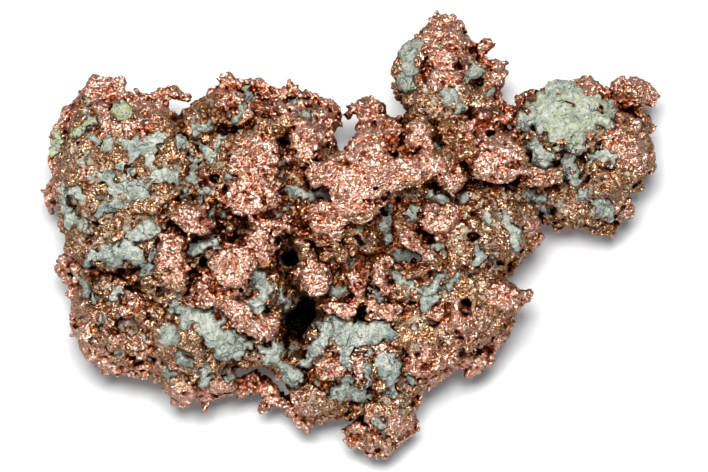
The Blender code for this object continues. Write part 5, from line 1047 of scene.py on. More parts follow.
def zone_share(points, zones, soft=0.35):
    """How far each point is inside the zones seen from above: 1 well inside, 0 outside, eased at the rim."""
    share = np.zeros(len(points), dtype=np.float32)
    for x, y, half_x, half_y in zones:
        off = np.hypot((points[:, 0] - x) / half_x, (points[:, 1] - y) / half_y)
        share = np.maximum(share, 1 - smooth_step(1 - soft, 1 + soft, off))
    return share


def make_mesh(name, points, faces):
    """Put whole arrays of points (mm) and faces into a mesh."""
    mesh = bpy.data.meshes.new(name)
    mesh.vertices.add(len(points))
    mesh.vertices.foreach_set("co", (points * MM).astype(np.float32).ravel())
    mesh.loops.add(faces.size)
    mesh.loops.foreach_set("vertex_index", faces.astype(np.int32).ravel())
    mesh.polygons.add(len(faces))
    mesh.polygons.foreach_set("loop_start", np.arange(0, faces.size, faces.shape[1], dtype=np.int32))
    mesh.update(calc_edges=True)
    mesh.validate()
    return mesh


def mesh_arrays(mesh):
    """The points (mm) and the three-sided faces of a mesh."""
    points = np.empty(len(mesh.vertices) * 3, dtype=np.float32)
    mesh.vertices.foreach_get("co", points)
    mesh.calc_loop_triangles()
    faces = np.empty(len(mesh.loop_triangles) * 3, dtype=np.int32)
    mesh.loop_triangles.foreach_get("vertices", faces)
    return points.reshape(-1, 3) / MM, faces.reshape(-1, 3)


def thin_out(points, faces):
    """Merge the faces that add least to the shape until no more than the most triangles are left."""
    triangles = len(faces) * (faces.shape[1] - 2)
    if triangles <= MOST_TRIANGLES:
        return points, faces
    thing = bpy.data.objects.new("to thin out", make_mesh("to thin out", points, faces))
    bpy.context.scene.collection.objects.link(thing)
    thing.modifiers.new("thin out", "DECIMATE").ratio = MOST_TRIANGLES / triangles
    seen = thing.evaluated_get(bpy.context.evaluated_depsgraph_get())
    thinned = bpy.data.meshes.new_from_object(seen)
    arrays = mesh_arrays(thinned)
    bpy.data.objects.remove(thing, do_unlink=True)
    bpy.data.meshes.remove(thinned)
    return arrays


def place_piece(name, points, faces, values, material):
    """Make the finished object, with one number at each point for each of its named values."""
    mesh = make_mesh(name, points, faces)
    for label, numbers in values.items():
        layer = mesh.attributes.new(label, "FLOAT", "POINT")
        layer.data.foreach_set("value", np.clip(numbers, -4, 4).astype(np.float32))
    mesh.materials.append(material)
    mesh.shade_smooth()
    piece = bpy.data.objects.new(name, mesh)
    bpy.context.scene.collection.objects.link(piece)
    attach(piece, "root")
    return piece


@functools.cache
def whole_field():
    """The nugget as a whole, coarsely: how far from its skin each place is."""
    lattice = Lattice(WHOLE_CELL)
    field = lattice.empty()
    add_eggs(lattice, field, MASSES, BODY_BLEND)
    add_eggs(lattice, field, LOBES, LOBE_BLEND)
    add_bars(lattice, field, chain_bars(RIDGES), CHAIN_BLEND)
    add_bars(lattice, field, chain_bars(RIM), CHAIN_BLEND)
    add_bars(lattice, field, hollow_bars(), HOLLOW_BLEND, hollow=True)
    return lattice, field


def openness(points, way):
    """How open to the air each point is, from 0 deep in a crevice to 1: at a few steps along its normal,
    the distance to the nearest metal over the length of the step."""
    lattice, field = whole_field()
    share = np.zeros(len(points), dtype=np.float32)
    for step in OPEN_STEPS:
        share += np.clip(lattice.sample(field, points + way * step) / step, 0, 1)
    return share / len(OPEN_STEPS)


def crest_height(points, faces, way):
    """How far each point stands above the points round it, over the usual amount: above 0 on a crest,
    below 0 in a crease."""
    mean = neighbour_mean(neighbour_mean(points, faces), faces)
    height = np.einsum("ij,ij->i", points - mean, way)
    return height / max(float(np.std(height)), 1e-6)


def copper_values(points, faces, proud, blush):
    """What the copper's finish reads: how pink, tarnished, golden, proud, open and crested it is. The zones
    hold on the upper face, noise takes their place below, and the blush is added to the pink everywhere."""
    way = outward(points, faces)
    patch = wavy(points, 4.5, SEED + 90)
    upper = smooth_step(5.0, 9.0, points[:, 2])
    pink = zone_share(points, PINK) * upper + (1 - upper) * smooth_step(-0.5, 0.2, patch)
    tarnished = zone_share(points, TARNISHED, 0.8) * upper + (1 - upper) * smooth_step(0.2, 0.6, patch) * 0.6
    golden = zone_share(points, GOLDEN) * upper + (1 - upper) * smooth_step(0.1, 0.5, -patch)
    return {"pink": np.clip(pink + blush - 0.6 * tarnished, 0, 1), "tarnish": tarnished, "golden": golden,
            "proud": proud, "open": openness(points, way), "crest": crest_height(points, faces, way)}


def hackly(points, faces, sizes, amounts, stretch, seed):
    """Push each point along its normal by crumpled noise: for each size, round bumps and sharp crests
    in turn, longer along X by the stretch and read at places that noise has pushed about."""
    way = outward(points, faces)
    relief = np.zeros(len(points), dtype=np.float32)
    drawn = points * np.array([1 / stretch, 1, 1], dtype=np.float32)
    for turn, (size, amount) in enumerate(zip(sizes, amounts)):
        spots = warped(drawn, size * 1.7, size * 0.5, seed + 7 * turn)
        noise = ridged if turn % 2 else creased
        relief += amount * (noise(spots, size, seed + 50 + turn) - 0.5)
    return points + way * relief[:, None]


def scout_field(groups, bars, blend):
    """A coarse field to seed the knobs on."""
    scout = Lattice(SCOUT_CELL)
    field = scout.empty()
    add_eggs(scout, field, groups, blend)
    add_bars(scout, field, bars, blend)
    return scout, field


def seed_bars(scout, rough, kind, chips, rng):
    """Short bars of one kind seeded on the skin, with only a share of them where crust will lie."""
    count, least, most, sunk, reach, stand = kind
    spots, way = seed_spots(scout, rough, count, least, most, sunk, rng)
    keep = (crust_depth(spots) < CRUST_CLEAR) | (rng.random(len(spots)) < chips)
    return seed_branches(spots[keep], way[keep], reach, stand, rng)


def grow(lattice, groups, bars, growth, rng):
    """Eggs and bars melted together, then knobs, and then the hollows and pits taken out."""
    blend = growth["blend"]
    field = lattice.empty()
    add_eggs(lattice, field, groups, blend)
    add_bars(lattice, field, bars, blend * 0.5)
    smooth = field.copy()
    scout, rough = scout_field(groups, bars, blend)
    for kind in growth["knobs"]:
        add_bars(lattice, field, seed_bars(scout, rough, kind, CRUST_CHIPS, rng), KNOB_BLEND)
    for kind in growth["pits"]:
        add_bars(lattice, field, seed_bars(scout, rough, kind, 0.0, rng), PIT_BLEND, hollow=True)
    add_bars(lattice, field, hollow_bars(), HOLLOW_BLEND, hollow=True)
    return field, smooth


def largest_bodies(points, faces, least):
    """Drop loose crumbs: each point takes the lowest number among its neighbours over and over until
    nothing changes, so the points of one body share a number."""
    label = np.arange(len(points))
    edges = np.concatenate([faces[:, [i, (i + 1) % faces.shape[1]]] for i in range(faces.shape[1])])
    while True:
        lowest = label.copy()
        np.minimum.at(lowest, edges[:, 0], label[edges[:, 1]])
        np.minimum.at(lowest, edges[:, 1], label[edges[:, 0]])
        lowest = lowest[lowest]
        if np.array_equal(lowest, label):
            break
        label = lowest
    size = np.bincount(label, minlength=len(points))
    keep = size[label] >= least
    number = np.cumsum(keep) - 1
    return points[keep], number[faces[keep[faces[:, 0]]]]


def flat_feet(points):
    """Nothing reaches below the table."""
    points[:, 2] = np.maximum(points[:, 2], 0.0)
    return points


def copper_piece(name, groups, bars, cell, growth, finish, seed, least=LEAST_BODY, blush=0.0):
    """One closed skin of copper: grown, netted, bent about, crumpled, sunk below the crust and thinned
    out."""
    rng = np.random.default_rng(seed)
    lattice = Lattice(cell)
    field, smooth = grow(lattice, groups, list(bars), growth, rng)
    points, faces = net(lattice, field)
    points, faces = largest_bodies(points, faces, least)
    points = hackly(warped(points, *growth["bend"], seed + 70), faces, *growth["relief"], seed)
    way = outward(points, faces)
    under_crust = smooth_step(0.0, 0.7, crust_depth(points)) * smooth_step(7.0, 9.0, points[:, 2])
    points = flat_feet(points - way * (CRUST_SINK * under_crust)[:, None])
    points, faces = thin_out(points, faces)
    values = copper_values(points, faces, lattice.sample(smooth, points), blush)
    return place_piece(name, points, faces, values, copper_finish(finish))


def button_bars(lattice, base):
    """Each button as a ball whose centre lies below the skin under the sky at its place by the share of
    its radius that doesn't stand off."""
    for stand, _, _, (x, y, radius) in BUTTONS.values():
        part, _, _, z = lattice.window(np.array([x, y, CRUST_LEVEL]), np.array([x, y, LATTICE_HIGH[2]]))
        column = base[part][0, 0]
        top = float(z[0, 0][column < 0].max(initial=CRUST_LEVEL))
        ball = (x, y, top - radius * (1 - 2 * stand) * 0.5, radius)
        yield ball, ball


def grow_crust(lattice, patches, upper):
    """Crust plates: the masses run together very softly and swollen by each patch's rise, which falls
    off towards the patch's ragged edge, kept only inside that edge, near the skin and on its own side of
    an uneven level, and the buttons."""
    base = lattice.empty()
    add_eggs(lattice, base, MASSES, CRUST_BASE_BLEND)
    add_bars(lattice, base, chain_bars(RIM), CRUST_RIM_BLEND)
    field = lattice.empty()
    if upper:
        add_bars(lattice, field, button_bars(lattice, base), 0.2)
    z_first, z_last = (CRUST_LEVEL, LATTICE_HIGH[2]) if upper else (LATTICE_LOW[2], CRUST_LEVEL - 1.0)
    for name, (rise, _, _, discs) in patches.items():
        xs, ys, rs = (np.array(column) for column in zip(*discs))
        low = np.array([min(xs - rs) - 2.0, min(ys - rs) - 2.0, z_first])
        high = np.array([max(xs + rs) + 2.0, max(ys + rs) + 2.0, z_last])
        part, x, y, z = lattice.window(low, high)
        spots = np.stack(np.broadcast_arrays(x, y, np.float32(0)), axis=-1).reshape(-1, 3)
        inside = crust_depth(spots, {name: patches[name]}).reshape(x.shape[0], y.shape[1], 1)
        thick = rise + CRUST_LIFT - CRUST_EDGE_DROP * (1 - smooth_step(-0.2, CRUST_EDGE, inside))
        plate = np.maximum(base[part] - thick, -inside * CRUST_STEEPNESS)
        plate = np.maximum(plate, -base[part] - CRUST_ROOT)
        drip = DRIP * wavy(spots, DRIP, SEED + 45).reshape(inside.shape)
        plate = np.maximum(plate, CRUST_LEVEL + CRUST_HEM + drip - z if upper else z - CRUST_BELOW_TOP - drip)
        field[part] = np.minimum(field[part], plate)
    add_bars(lattice, field, hollow_bars(), HOLLOW_BLEND, hollow=True)
    return field


def crust_values(points, faces, patches):
    """What the crust's finish reads: how yellow and how dark its patch is (its own tone and painted shade),
    how far in from the edge and how open each point is."""
    best = np.full(len(points), -FAR_AWAY, dtype=np.float32)
    yellow = np.zeros(len(points), dtype=np.float32)
    dark = np.zeros(len(points), dtype=np.float32)
    x, y, teeth = ragged_plan(points)
    buttons = [(*look, [disc]) for *look, disc in BUTTONS.values()]
    for _, patch_yellow, patch_dark, discs in [*patches.values(), *buttons]:
        depth = chain_depth(x, y, discs)
        nearer = depth > best
        best = np.where(nearer, depth, best)
        yellow = np.where(nearer, patch_yellow, yellow)
        dark = np.where(nearer, patch_dark, dark)
    return {"yellow": yellow, "dark": dark, "depth": best + teeth,
            "open": openness(points, outward(points, faces))}


def crust_piece(name, patches, upper, cell, material):
    """The crust plates of one side as one mesh, made lumpy and thinned out."""
    lattice = Lattice(cell)
    points, faces = net(lattice, grow_crust(lattice, patches, upper))
    points, faces = largest_bodies(points, faces, LEAST_CRUST)
    way = outward(points, faces)
    relief = CRUST_WAVE[1] * wavy(points, CRUST_WAVE[0], SEED + 41)
    relief += CRUST_CREASE[1] * (creased(points, CRUST_CREASE[0], SEED + 42) - 0.5)
    grains = warped(points, CRUST_GRAIN[0], CRUST_GRAIN_PUSH, SEED + 43)
    relief += CRUST_GRAIN[1] * (creased(grains, CRUST_GRAIN[0], SEED + 44) - 0.5)
    points, faces = thin_out(flat_feet(points + way * relief[:, None]), faces)
    return place_piece(name, points, faces, crust_values(points, faces, patches), material)


# ---------------------------------------------------------------------------------------------
# Finish
# ---------------------------------------------------------------------------------------------


class Wiring:
    """The nodes of one material or group, joined step by step. A step takes numbers, colours or other
    nodes' sockets, and gives the socket that holds its result."""

    def __init__(self, tree):
        self.tree = tree

    def fill(self, socket, value):
        """Join a socket to another node's, or set it to a plain value."""
        if isinstance(value, bpy.types.NodeSocket):
            self.tree.links.new(value, socket)
        else:
            socket.default_value = value

    def add(self, kind, inputs, **settings):
        """One node with its settings and inputs, as its outputs."""
        made = self.tree.nodes.new("ShaderNode" + kind)
        for name, value in settings.items():
            setattr(made, name, value)
        for name, value in inputs.items():
            self.fill(made.inputs[name], value)
        return made.outputs

    def maths(self, operation, first, second=0.0, clamp=False):
        """One step of arithmetic."""
        return self.add("Math", {0: first, 1: second}, operation=operation, use_clamp=clamp)[0]

    def plus(self, first, second, clamp=False):
        """The sum."""
        return self.maths("ADD", first, second, clamp)

    def less(self, first, second):
        """The first less the second."""
        return self.maths("SUBTRACT", first, second)

    def times(self, first, second, clamp=False):
        """The product."""
        return self.maths("MULTIPLY", first, second, clamp)

    def greater(self, first, second):
        """The greater of the two."""
        return self.maths("MAXIMUM", first, second)

    def vectors(self, operation, first, second=None):
        """One step of arithmetic with vectors; the second is a plain number where one is scaled."""
        inputs = {0: first} if second is None else {0: first, "Scale" if operation == "SCALE" else 1: second}
        return self.add("VectorMath", inputs, operation=operation)[0]

    def mix(self, share, first, second, way="MIX"):
        """Two colours mixed by a share."""
        return self.add("Mix", {0: share, 6: first, 7: second}, data_type="RGBA", blend_type=way)[2]

    def between(self, value, low, high):
        """The values from low to high spread over 0 to 1, eased at both ends."""
        return self.add("MapRange", {0: value, 1: low, 2: high}, interpolation_type="SMOOTHSTEP")[0]

    def noise(self, place, scale, detail=3.0, rough=0.55):
        """Noise from 0 to 1 with bumps of one over the scale."""
        return self.add("TexNoise", {"Vector": place, "Scale": scale, "Detail": detail,
                                     "Roughness": rough})["Fac"]

    def pushed(self, start, place, scale, detail, reach):
        """The start moved by noise that is read at the place, by up to the reach on each axis."""
        push = self.add("TexNoise", {"Vector": place, "Scale": scale, "Detail": detail})["Color"]
        return self.vectors("ADD", start, self.vectors("SCALE", push, reach))

    def read(self, name):
        """A number that the mesh holds at each point."""
        return self.add("Attribute", {}, attribute_name=name)["Fac"]

    def group(self, name, inputs):
        """One of the shared groups, with its inputs filled."""
        return self.add("Group", inputs, node_tree=bpy.data.node_groups[name])


def new_group(name, inputs, outputs):
    """An empty group's wiring, inputs and outputs. An input with no default is a vector, and any other a
    number."""
    tree = bpy.data.node_groups.new(name, "ShaderNodeTree")
    for label, default in inputs.items():
        kind = "NodeSocketVector" if default is None else "NodeSocketFloat"
        socket = tree.interface.new_socket(label, in_out="INPUT", socket_type=kind)
        if default is not None:
            socket.default_value = default
    for label, kind in outputs.items():
        tree.interface.new_socket(label, in_out="OUTPUT", socket_type="NodeSocket" + kind)
    return Wiring(tree), tree.nodes.new("NodeGroupInput").outputs, tree.nodes.new("NodeGroupOutput").inputs


def make_glint_group():
    """Crystal glints: small cells and wider plates, each with its normal leaning its own way, so that a
    few at a time catch the light. Fleck is a random number for each cell."""
    n, given, result = new_group(
        "crystal glints", {"Place": None, "Scale": 2400.0, "Lean": 0.6, "Normal": None},
        {"Normal": "Vector", "Fleck": "Float"})
    drawn = n.vectors("MULTIPLY", given["Place"], GLINT_STRETCH)
    moved = n.pushed(drawn, given["Place"], *GLINT_PUSH)
    cells = n.add("TexVoronoi", {"Vector": moved, "Scale": given["Scale"]})["Color"]
    plates = n.add("TexVoronoi", {"Vector": moved, "Scale": n.times(given["Scale"], PLATE_SCALE)})["Color"]
    centred = n.vectors("ADD", n.vectors("ADD", cells, plates), (-1.0, -1.0, -1.0))
    turned = n.vectors("ADD", given["Normal"], n.vectors("SCALE", centred, given["Lean"]))
    n.fill(result["Normal"], n.vectors("NORMALIZE", turned))
    n.fill(result["Fleck"], n.add("SeparateColor", {0: cells})[1])


def make_crumple_group():
    """Crumpled foil: a bump of sharp crests and, between them, sharp creases, at the given scale.
    Crease is 1 along a crease and 0 away from it."""
    n, given, result = new_group("crumpled foil", {"Place": None, "Scale": 1300.0, "Height": 0.0002},
                                 {"Normal": "Vector", "Crease": "Float"})
    folds = []
    for share, detail, warp in FOLDS:
        wave = n.add("TexNoise", {
            "Vector": given["Place"], "Scale": n.times(given["Scale"], share), "Detail": detail,
            "Roughness": 0.5, "Distortion": warp, "Lacunarity": 2.1})["Fac"]
        folds.append(n.times(n.maths("ABSOLUTE", n.less(wave, 0.5)), 5.0, clamp=True))
    crest, crease = folds
    height = n.less(n.times(crease, CREASE_DEPTH), crest)
    bump = n.add("Bump", {"Strength": 1.0, "Distance": given["Height"], "Height": height})
    n.fill(result["Normal"], bump[0])
    n.fill(result["Crease"], n.between(crease, 0.3, 0.0))


def make_mineral_group(colours):
    """Pale mineral: grey-green clouds, yellow-green tints, dark specks and here and there a fine crack."""
    n, given, result = new_group("pale mineral", {"Place": None, "Yellow": 0.0, "Dark": 0.0},
                                 {"Color": "Color", "Height": "Float"})
    place = given["Place"]
    cloud = n.between(n.noise(place, *CLOUDS), 0.38, 0.6)
    colour = n.mix(cloud, colours["crust"], colours["crust_light"])
    damp = n.times(n.between(n.noise(place, *DAMP), 0.5, 0.62), 0.75)
    colour = n.mix(damp, colour, colours["crust_teal"])
    tint = n.times(given["Yellow"], n.between(n.noise(place, *YELLOWS), 0.38, 0.6))
    colour = n.mix(tint, colour, colours["crust_yellow"])
    # The Dark input: for the crust, its own darker tone and painted shade where it is enclosed or in a
    # recess.
    colour = n.mix(given["Dark"], colour, colours["crust_dark"])
    specks = n.times(n.between(n.noise(place, *SPECKS), 0.51, 0.66), 0.8)
    colour = n.mix(specks, colour, colours["crust_dark"])
    bent = n.pushed(place, place, *CRACK_PUSH)
    cells = n.add("TexVoronoi", {"Vector": bent, "Scale": CRACK_SCALE}, feature="DISTANCE_TO_EDGE")
    crack = n.times(n.between(cells["Distance"], 0.035, 0.0),
                    n.between(n.noise(place, *CRACKED), 0.47, 0.6))
    n.fill(result["Color"], n.mix(n.times(crack, 0.75), colour, colours["crust_dark"]))
    lumps = n.add("TexVoronoi", {"Vector": bent, "Scale": LUMP_SCALE})["Distance"]
    height = n.less(n.less(n.noise(place, *CRUMBS), crack), n.times(lumps, 0.5))
    n.fill(result["Height"], height)


def copper_colour(n, given, share, proud, colours):
    """The metal's colour: brown to pink by the share, gilded, tarnished, with pale glints and dark cells
    between the glints, painted shade where the copper is creased or sunk, and a painted reddish shade in
    crevices."""
    colour = n.mix(share, colours["brown"], colours["pink"])
    gild = n.times(given["Golden"], n.between(n.noise(given["Place"], *GILDING), 0.36, 0.6))
    colour = n.mix(n.times(gild, 0.6), colour, colours["golden"])
    colour = n.mix(n.times(given["Tarnish"], 0.32), colour, colours["dark"])
    pale = n.mix(share, colours["amber"], colours["fresh"])
    colour = n.mix(n.times(n.between(given["Fleck"], 0.42, 0.8), 0.72), colour, pale)
    low = n.less(0.5, n.times(share, 0.35))
    dark_cells_and_crease_shade = n.times(n.between(given["Fleck"], low, n.less(low, 0.2)), 0.8)
    # Painted shade: darker along the creases of the crumpled folds, on top of the dark cells.
    dark_cells_and_crease_shade = n.greater(dark_cells_and_crease_shade, n.times(given["Crease"], 0.7))
    # Painted shade where the copper is sunk below its broad shape, and in the loop also where the skin is
    # creased.
    sunk = n.times(n.between(proud, -0.25, -1.0), 0.7)
    for darkened in (dark_cells_and_crease_shade, n.between(given["Crest"], -0.2, -2.2), sunk):
        colour = n.mix(darkened, colour, colours["dark"])
    # Painted shade: the crevices' reddish darkening, multiplied in as the point is less open.
    return n.mix(n.between(given["Open"], 0.8, 0.35), colour, colours["glow"], "MULTIPLY")


def make_copper_group(colours):
    """Native copper: brown where it is sunk or tarnished, golden in its own zones, pink on the worn
    lobes, painted shade from red to black deep in the crevices, and a film of pale mineral in the creases
    of the brown."""
    n, given, result = new_group(
        "native copper",
        {"Place": None, "Pink": 0.0, "Tarnish": 0.0, "Golden": 0.0, "Proud": 0.0, "Open": 1.0, "Crest": 0.0,
         "Fleck": 1.0, "Crease": 0.0, "Film": 0.5},
        {"Color": "Color", "Metal": "Float"})
    place = given["Place"]
    proud = n.greater(n.maths("MINIMUM", given["Proud"], 1.0), -1.0)
    share = n.plus(given["Pink"], n.times(n.less(n.noise(place, *MOTTLE), 0.5), 1.2))
    share = n.plus(n.plus(share, n.times(proud, 0.18)), n.times(given["Crest"], 0.06))
    share = n.between(share, 0.15, 0.8)
    colour = copper_colour(n, given, share, proud, colours)
    # Painted shade: black painted where the copper is enclosed or lies deep below its broad shape.
    shut_shade = n.greater(n.between(given["Open"], 0.4, 0.1), n.between(given["Proud"], -1.4, -2.8))
    colour = n.mix(shut_shade, colour, HOLLOW_SHADE_BLACK)
    film = n.group("pale mineral", {"Place": place, "Yellow": 0.15, "Dark": 0.1})
    cover = n.less(n.noise(place, *FILM), n.times(share, 0.3))
    cover = n.less(n.less(cover, n.times(given["Crest"], 0.05)), n.times(proud, 0.12))
    cover = n.greater(n.less(n.times(n.between(cover, 0.52, 0.6), given["Film"]), shut_shade), 0.0)
    n.fill(result["Color"], n.mix(cover, colour, film["Color"]))
    n.fill(result["Metal"], n.less(1.0, cover))


def new_material(name):
    """A material with nodes, its wiring, its shader's inputs and its place on the object."""
    material = bpy.data.materials.new(name)
    material.use_nodes = True
    n = Wiring(material.node_tree)
    return material, n, n.tree.nodes["Principled BSDF"].inputs, n.add("TexCoord", {})["Object"]


def copper_finish(name):
    """Hackly native copper: crumpled, with crystal glints all over."""
    lean, rough, grain, (fold, height), film = COPPER_FINISHES[name]
    material, n, shader, place = new_material(name)
    foil = n.group("crumpled foil", {"Place": place, "Scale": 1000.0 / fold, "Height": height * MM})
    glints = n.group("crystal glints", {"Place": place, "Scale": 1000.0 / grain, "Lean": lean,
                                        "Normal": foil["Normal"]})
    labels = ("Pink", "Tarnish", "Golden", "Proud", "Open", "Crest")
    copper = n.group("native copper", {"Place": place, "Fleck": glints["Fleck"], "Crease": foil["Crease"],
                                       "Film": film, **{label: n.read(label.lower()) for label in labels}})
    bare = n.plus(n.times(n.noise(place, *SCRATCHES), 0.25), rough - 0.12)
    dull = n.times(n.less(1.0, copper["Metal"]), 0.6)
    n.fill(shader["Base Color"], copper["Color"])
    n.fill(shader["Specular Tint"], EDGE_TINT)
    n.fill(shader["Metallic"], copper["Metal"])
    n.fill(shader["Roughness"], n.plus(bare, dull, clamp=True))
    n.fill(shader["Normal"], glints["Normal"])
    return material


def crust_finish(name, colours):
    """Pale mineral crust: matt, with a darker brown band where it meets the copper, and painted shade where
    it is enclosed.
    """
    material, n, shader, place = new_material(name)
    # Painted shade: the crust made darker where it is enclosed.
    shut_shade = n.times(n.between(n.read("open"), 0.55, 0.12), 0.75)
    mineral = n.group("pale mineral", {"Place": place, "Yellow": n.read("yellow"),
                                       "Dark": n.greater(n.read("dark"), shut_shade)})
    # A darker brown band along the crust's ragged edge, where it meets the copper.
    edge = n.less(n.read("depth"), n.times(n.noise(place, *EDGE_BAND_NOISE), 0.5))
    stain = n.times(n.between(edge, 0.1, -0.5), 0.75)
    n.fill(shader["Base Color"], n.mix(stain, mineral["Color"], colours["stain"]))
    n.fill(shader["Roughness"], CRUST_ROUGHNESS)
    bump = n.add("Bump", {"Distance": CRUST_BUMP, "Strength": 1.0, "Height": mineral["Height"]})
    n.fill(shader["Normal"], bump[0])
    return material


def floor_finish(colour):
    """Plain pale studio floor with a trace of tooth; to glossy rays it shows a darker colour, a painted
    reflection as if dark cards stood on it.
    """
    material, n, shader, place = new_material("studio floor")
    light = tuple(min(1.0, c * FLOOR_BRIGHTEST) for c in colour[:3]) + (1.0,)
    # Painted reflection: the darker floor colour that glossy rays see, as if dark cards stood there.
    dark_reflection = tuple(c * FLOOR_MIRRORED for c in colour[:3]) + (1.0,)
    seen = n.mix(n.noise(place, *FLOOR_TOOTH), colour, light)
    n.fill(shader["Base Color"], n.mix(n.add("LightPath", {})["Is Glossy Ray"], seen, dark_reflection))
    n.fill(shader["Roughness"], FLOOR_ROUGHNESS)
    return material


# ---------------------------------------------------------------------------------------------
# Settings, operators and panel
# ---------------------------------------------------------------------------------------------


def colour_property(label, text, value):
    """A colour that can be changed in the sidebar."""
    return bpy.props.FloatVectorProperty(name=label, description=text, default=(*value, 1.0), size=4, min=0.0,
                                         max=1.0, subtype="COLOR")


def cell_property(label, text, value):
    """The spacing of a lattice, given in millimetres, that can be changed in the sidebar."""
    return bpy.props.FloatProperty(name=label, description=text, default=value * MM, min=0.15 * MM,
                                   max=1.5 * MM, precision=5, unit="LENGTH")


class NuggetSettings(bpy.types.PropertyGroup):
    """Sizes and colours of the nugget."""

    body_cell: cell_property("Body cell", "How finely the broad masses are worked out", 0.32)
    fine_cell: cell_property("Fine cell", "How finely the lobes, ridges and rim are worked out", 0.22)
    crust_cell: cell_property("Crust cell", "How finely the crust is worked out", 0.25)
    brown: colour_property("Brown copper", "Sunk and tarnished copper", (0.61, 0.33, 0.15))
    pink: colour_property("Pink copper", "Worn copper on the high lobes", (0.97, 0.525, 0.39))
    fresh: colour_property("Fresh copper", "Fresh, pale facets", (0.98, 0.80, 0.68))
    amber: colour_property("Amber copper", "The brightest facets of the brown copper", (0.89, 0.69, 0.54))
    golden: colour_property("Golden copper", "Copper with a golden film", (0.70, 0.33, 0.12))
    # Besides tarnish and dark cells, this colour is also laid as painted shade in creases and where the
    # copper is sunk.
    dark: colour_property("Dark copper", "Copper between the glints", (0.21, 0.066, 0.011))
    # Painted shade: the reddish darkening multiplied into the copper in its crevices.
    glow: colour_property("Crevice glow", "What the crevices keep of the copper's colour", (0.60, 0.30, 0.14))
    crust: colour_property("Crust", "The crust's own colour", (0.41, 0.44, 0.37))
    crust_light: colour_property("Light crust", "The crust's pale clouds", (0.68, 0.72, 0.63))
    crust_yellow: colour_property("Yellow crust", "The crust's yellow-green tint", (0.54, 0.60, 0.24))
    crust_teal: colour_property("Damp crust", "The crust's darker green clouds", (0.24, 0.30, 0.25))
    # Besides cracks, this colour is also laid as painted shade on crust that is enclosed or lies in a recess.
    crust_dark: colour_property("Dark crust", "Cracks and sunk crust", (0.10, 0.12, 0.10))
    # A darker brown band along the crust's edge, where it meets the copper.
    stain: colour_property("Stain", "Brown stain where the crust meets copper", (0.09, 0.05, 0.03))
    floor: colour_property("Floor", "The studio floor", (0.845, 0.858, 0.87))


def setting_names(settings):
    """The names of the settings, in order."""
    return [name for name in settings.bl_rna.properties.keys() if name not in {"rna_type", "name"}]


def colours_of(settings):
    """The settings' colours by name."""
    return {name: tuple(getattr(settings, name)) for name in setting_names(settings)
            if not name.endswith("_cell")}


class NUGGET_OT_finishes(bpy.types.Operator):
    """Make the effects that the finishes share"""

    bl_idname = "nugget.finishes"
    bl_label = "Shared finishes"

    def execute(self, context):
        colours = colours_of(context.scene.nugget)
        make_glint_group()
        make_crumple_group()
        make_mineral_group(colours)
        make_copper_group(colours)
        return {"FINISHED"}


class NUGGET_OT_body(bpy.types.Operator):
    """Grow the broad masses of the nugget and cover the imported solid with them"""

    bl_idname = "nugget.body"
    bl_label = "Copper body"

    def execute(self, context):
        cell = context.scene.nugget.body_cell / MM
        body = copper_piece("copper_body", MASSES, [], cell, BODY_GROWTH, "brown hackly copper", SEED)
        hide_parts("nugget")
        return {"FINISHED"}


class NUGGET_OT_lobes(bpy.types.Operator):
    """Grow the bright lobes and ridges of the upper face"""

    bl_idname = "nugget.lobes"
    bl_label = "Bright lobes"

    def execute(self, context):
        cell = context.scene.nugget.fine_cell / MM
        copper_piece("copper_lobes", LOBES, chain_bars(RIDGES), cell, LOBE_GROWTH, "bright worn copper",
                     SEED + 1, least=LEAST_LOBE)
        return {"FINISHED"}


class NUGGET_OT_rim(bpy.types.Operator):
    """Grow the knotted arms, hooks and spurs round the rim"""

    bl_idname = "nugget.rim"
    bl_label = "Rim"

    def execute(self, context):
        cell = context.scene.nugget.fine_cell / MM
        copper_piece("copper_rim", {}, chain_bars(RIM), cell, RIM_GROWTH, "rim copper", SEED + 2,
                     blush=RIM_BLUSH)
        return {"FINISHED"}


class NUGGET_OT_crust(bpy.types.Operator):
    """Lay the pale mineral crust in the hollows above and below"""

    bl_idname = "nugget.crust"
    bl_label = "Mineral crust"

    def execute(self, context):
        settings = context.scene.nugget
        finish = crust_finish("pale mineral crust", colours_of(settings))
        crust_piece("mineral_crust_above", CRUST, True, settings.crust_cell / MM, finish)
        crust_piece("mineral_crust_below", CRUST_BELOW, False, CRUST_BELOW_CELL, finish)
        return {"FINISHED"}


def add_to_scene(scene, name, data):
    """A new object in the scene that shows the mesh, light or camera."""
    thing = bpy.data.objects.new(name, data)
    scene.collection.objects.link(thing)
    return thing


def set_floor(scene, colour):
    """One flat square under the nugget."""
    mesh = bpy.data.meshes.new("studio_floor")
    corners = [(x * FLOOR_REACH, y * FLOOR_REACH, 0) for x, y in ((-1, -1), (1, -1), (1, 1), (-1, 1))]
    mesh.from_pydata(corners, [], [(0, 1, 2, 3)])
    mesh.materials.append(floor_finish(colour))
    floor = add_to_scene(scene, "studio_floor", mesh)


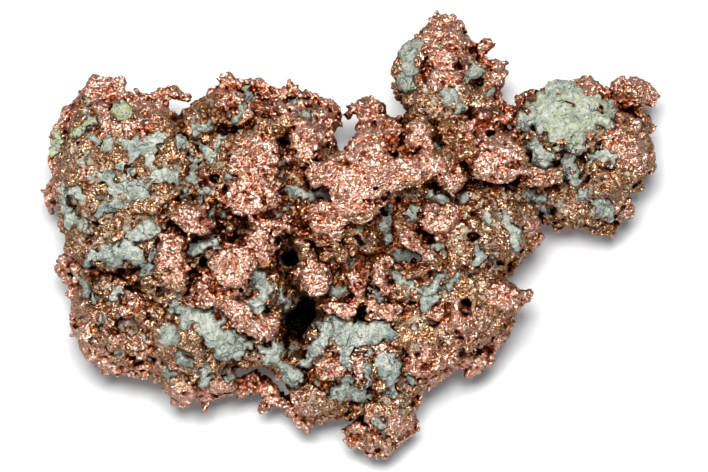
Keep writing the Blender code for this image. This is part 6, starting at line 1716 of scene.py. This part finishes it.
def set_lights(scene):
    """The softbox and the strips, all turned to the nugget, and a little light from the air."""
    for name, place, size, power, tint in LIGHTS:
        light = bpy.data.lights.new(name, "AREA")
        light.shape = "RECTANGLE"
        light.size, light.size_y = size
        light.energy = power
        light.color = tint
        lamp = add_to_scene(scene, name, light)
        lamp.location = place
        lamp.rotation_euler = (Vector((0, 0, EYE_LEVEL)) - Vector(place)).to_track_quat("-Z", "Y").to_euler()
    world = bpy.data.worlds.new("studio air")
    world.use_nodes = True
    sky = world.node_tree.nodes["Background"]
    sky.inputs["Color"].default_value = AIR_COLOUR
    sky.inputs["Strength"].default_value = AIR_LIGHT
    scene.world = world
    scene.view_settings.view_transform = "Standard"


def set_camera(scene):
    """The camera looks straight down, with the nugget filling its view."""
    camera = bpy.data.cameras.new("camera")
    camera.sensor_width = SENSOR
    camera.lens = SENSOR * (CAMERA_HEIGHT - EYE_LEVEL) / VIEW_WIDTH
    camera.clip_start, camera.clip_end = CLIP
    eye = add_to_scene(scene, "camera", camera)
    eye.location = (*VIEW_CENTRE, CAMERA_HEIGHT)
    scene.camera = eye


class NUGGET_OT_stage(bpy.types.Operator):
    """Set the floor, the soft studio light and the camera that looks straight down"""

    bl_idname = "nugget.stage"
    bl_label = "Studio"

    def execute(self, context):
        scene = context.scene
        set_floor(scene, colours_of(scene.nugget)["floor"])
        set_lights(scene)
        set_camera(scene)
        return {"FINISHED"}


class NUGGET_PT_sidebar(bpy.types.Panel):
    """Lists the nugget's sizes, colours and pieces"""

    bl_idname = "NUGGET_PT_sidebar"
    bl_label = "Copper nugget"
    bl_space_type = "VIEW_3D"
    bl_region_type = "UI"
    bl_category = "Nugget"

    def draw(self, context):
        settings = context.scene.nugget
        for label in setting_names(settings):
            self.layout.prop(settings, label)
        for operator in OPERATORS:
            self.layout.operator(operator.bl_idname)


OPERATORS = (NUGGET_OT_finishes, NUGGET_OT_body, NUGGET_OT_lobes, NUGGET_OT_rim, NUGGET_OT_crust,
             NUGGET_OT_stage)


def register():
    """Make the settings, the operators and the panel known to Blender."""
    for kind in (NuggetSettings, *OPERATORS, NUGGET_PT_sidebar):
        bpy.utils.register_class(kind)
    bpy.types.Scene.nugget = bpy.props.PointerProperty(type=NuggetSettings)


def unregister():
    """Take them all back."""
    del bpy.types.Scene.nugget
    for kind in reversed((NuggetSettings, *OPERATORS, NUGGET_PT_sidebar)):
        bpy.utils.unregister_class(kind)


def main():
    """Make every piece in order."""
    register()
    steps = bpy.ops.nugget
    for step in (steps.finishes, steps.body, steps.lobes, steps.rim, steps.crust, steps.stage):
        step()


if __name__ == "__main__":
    main()
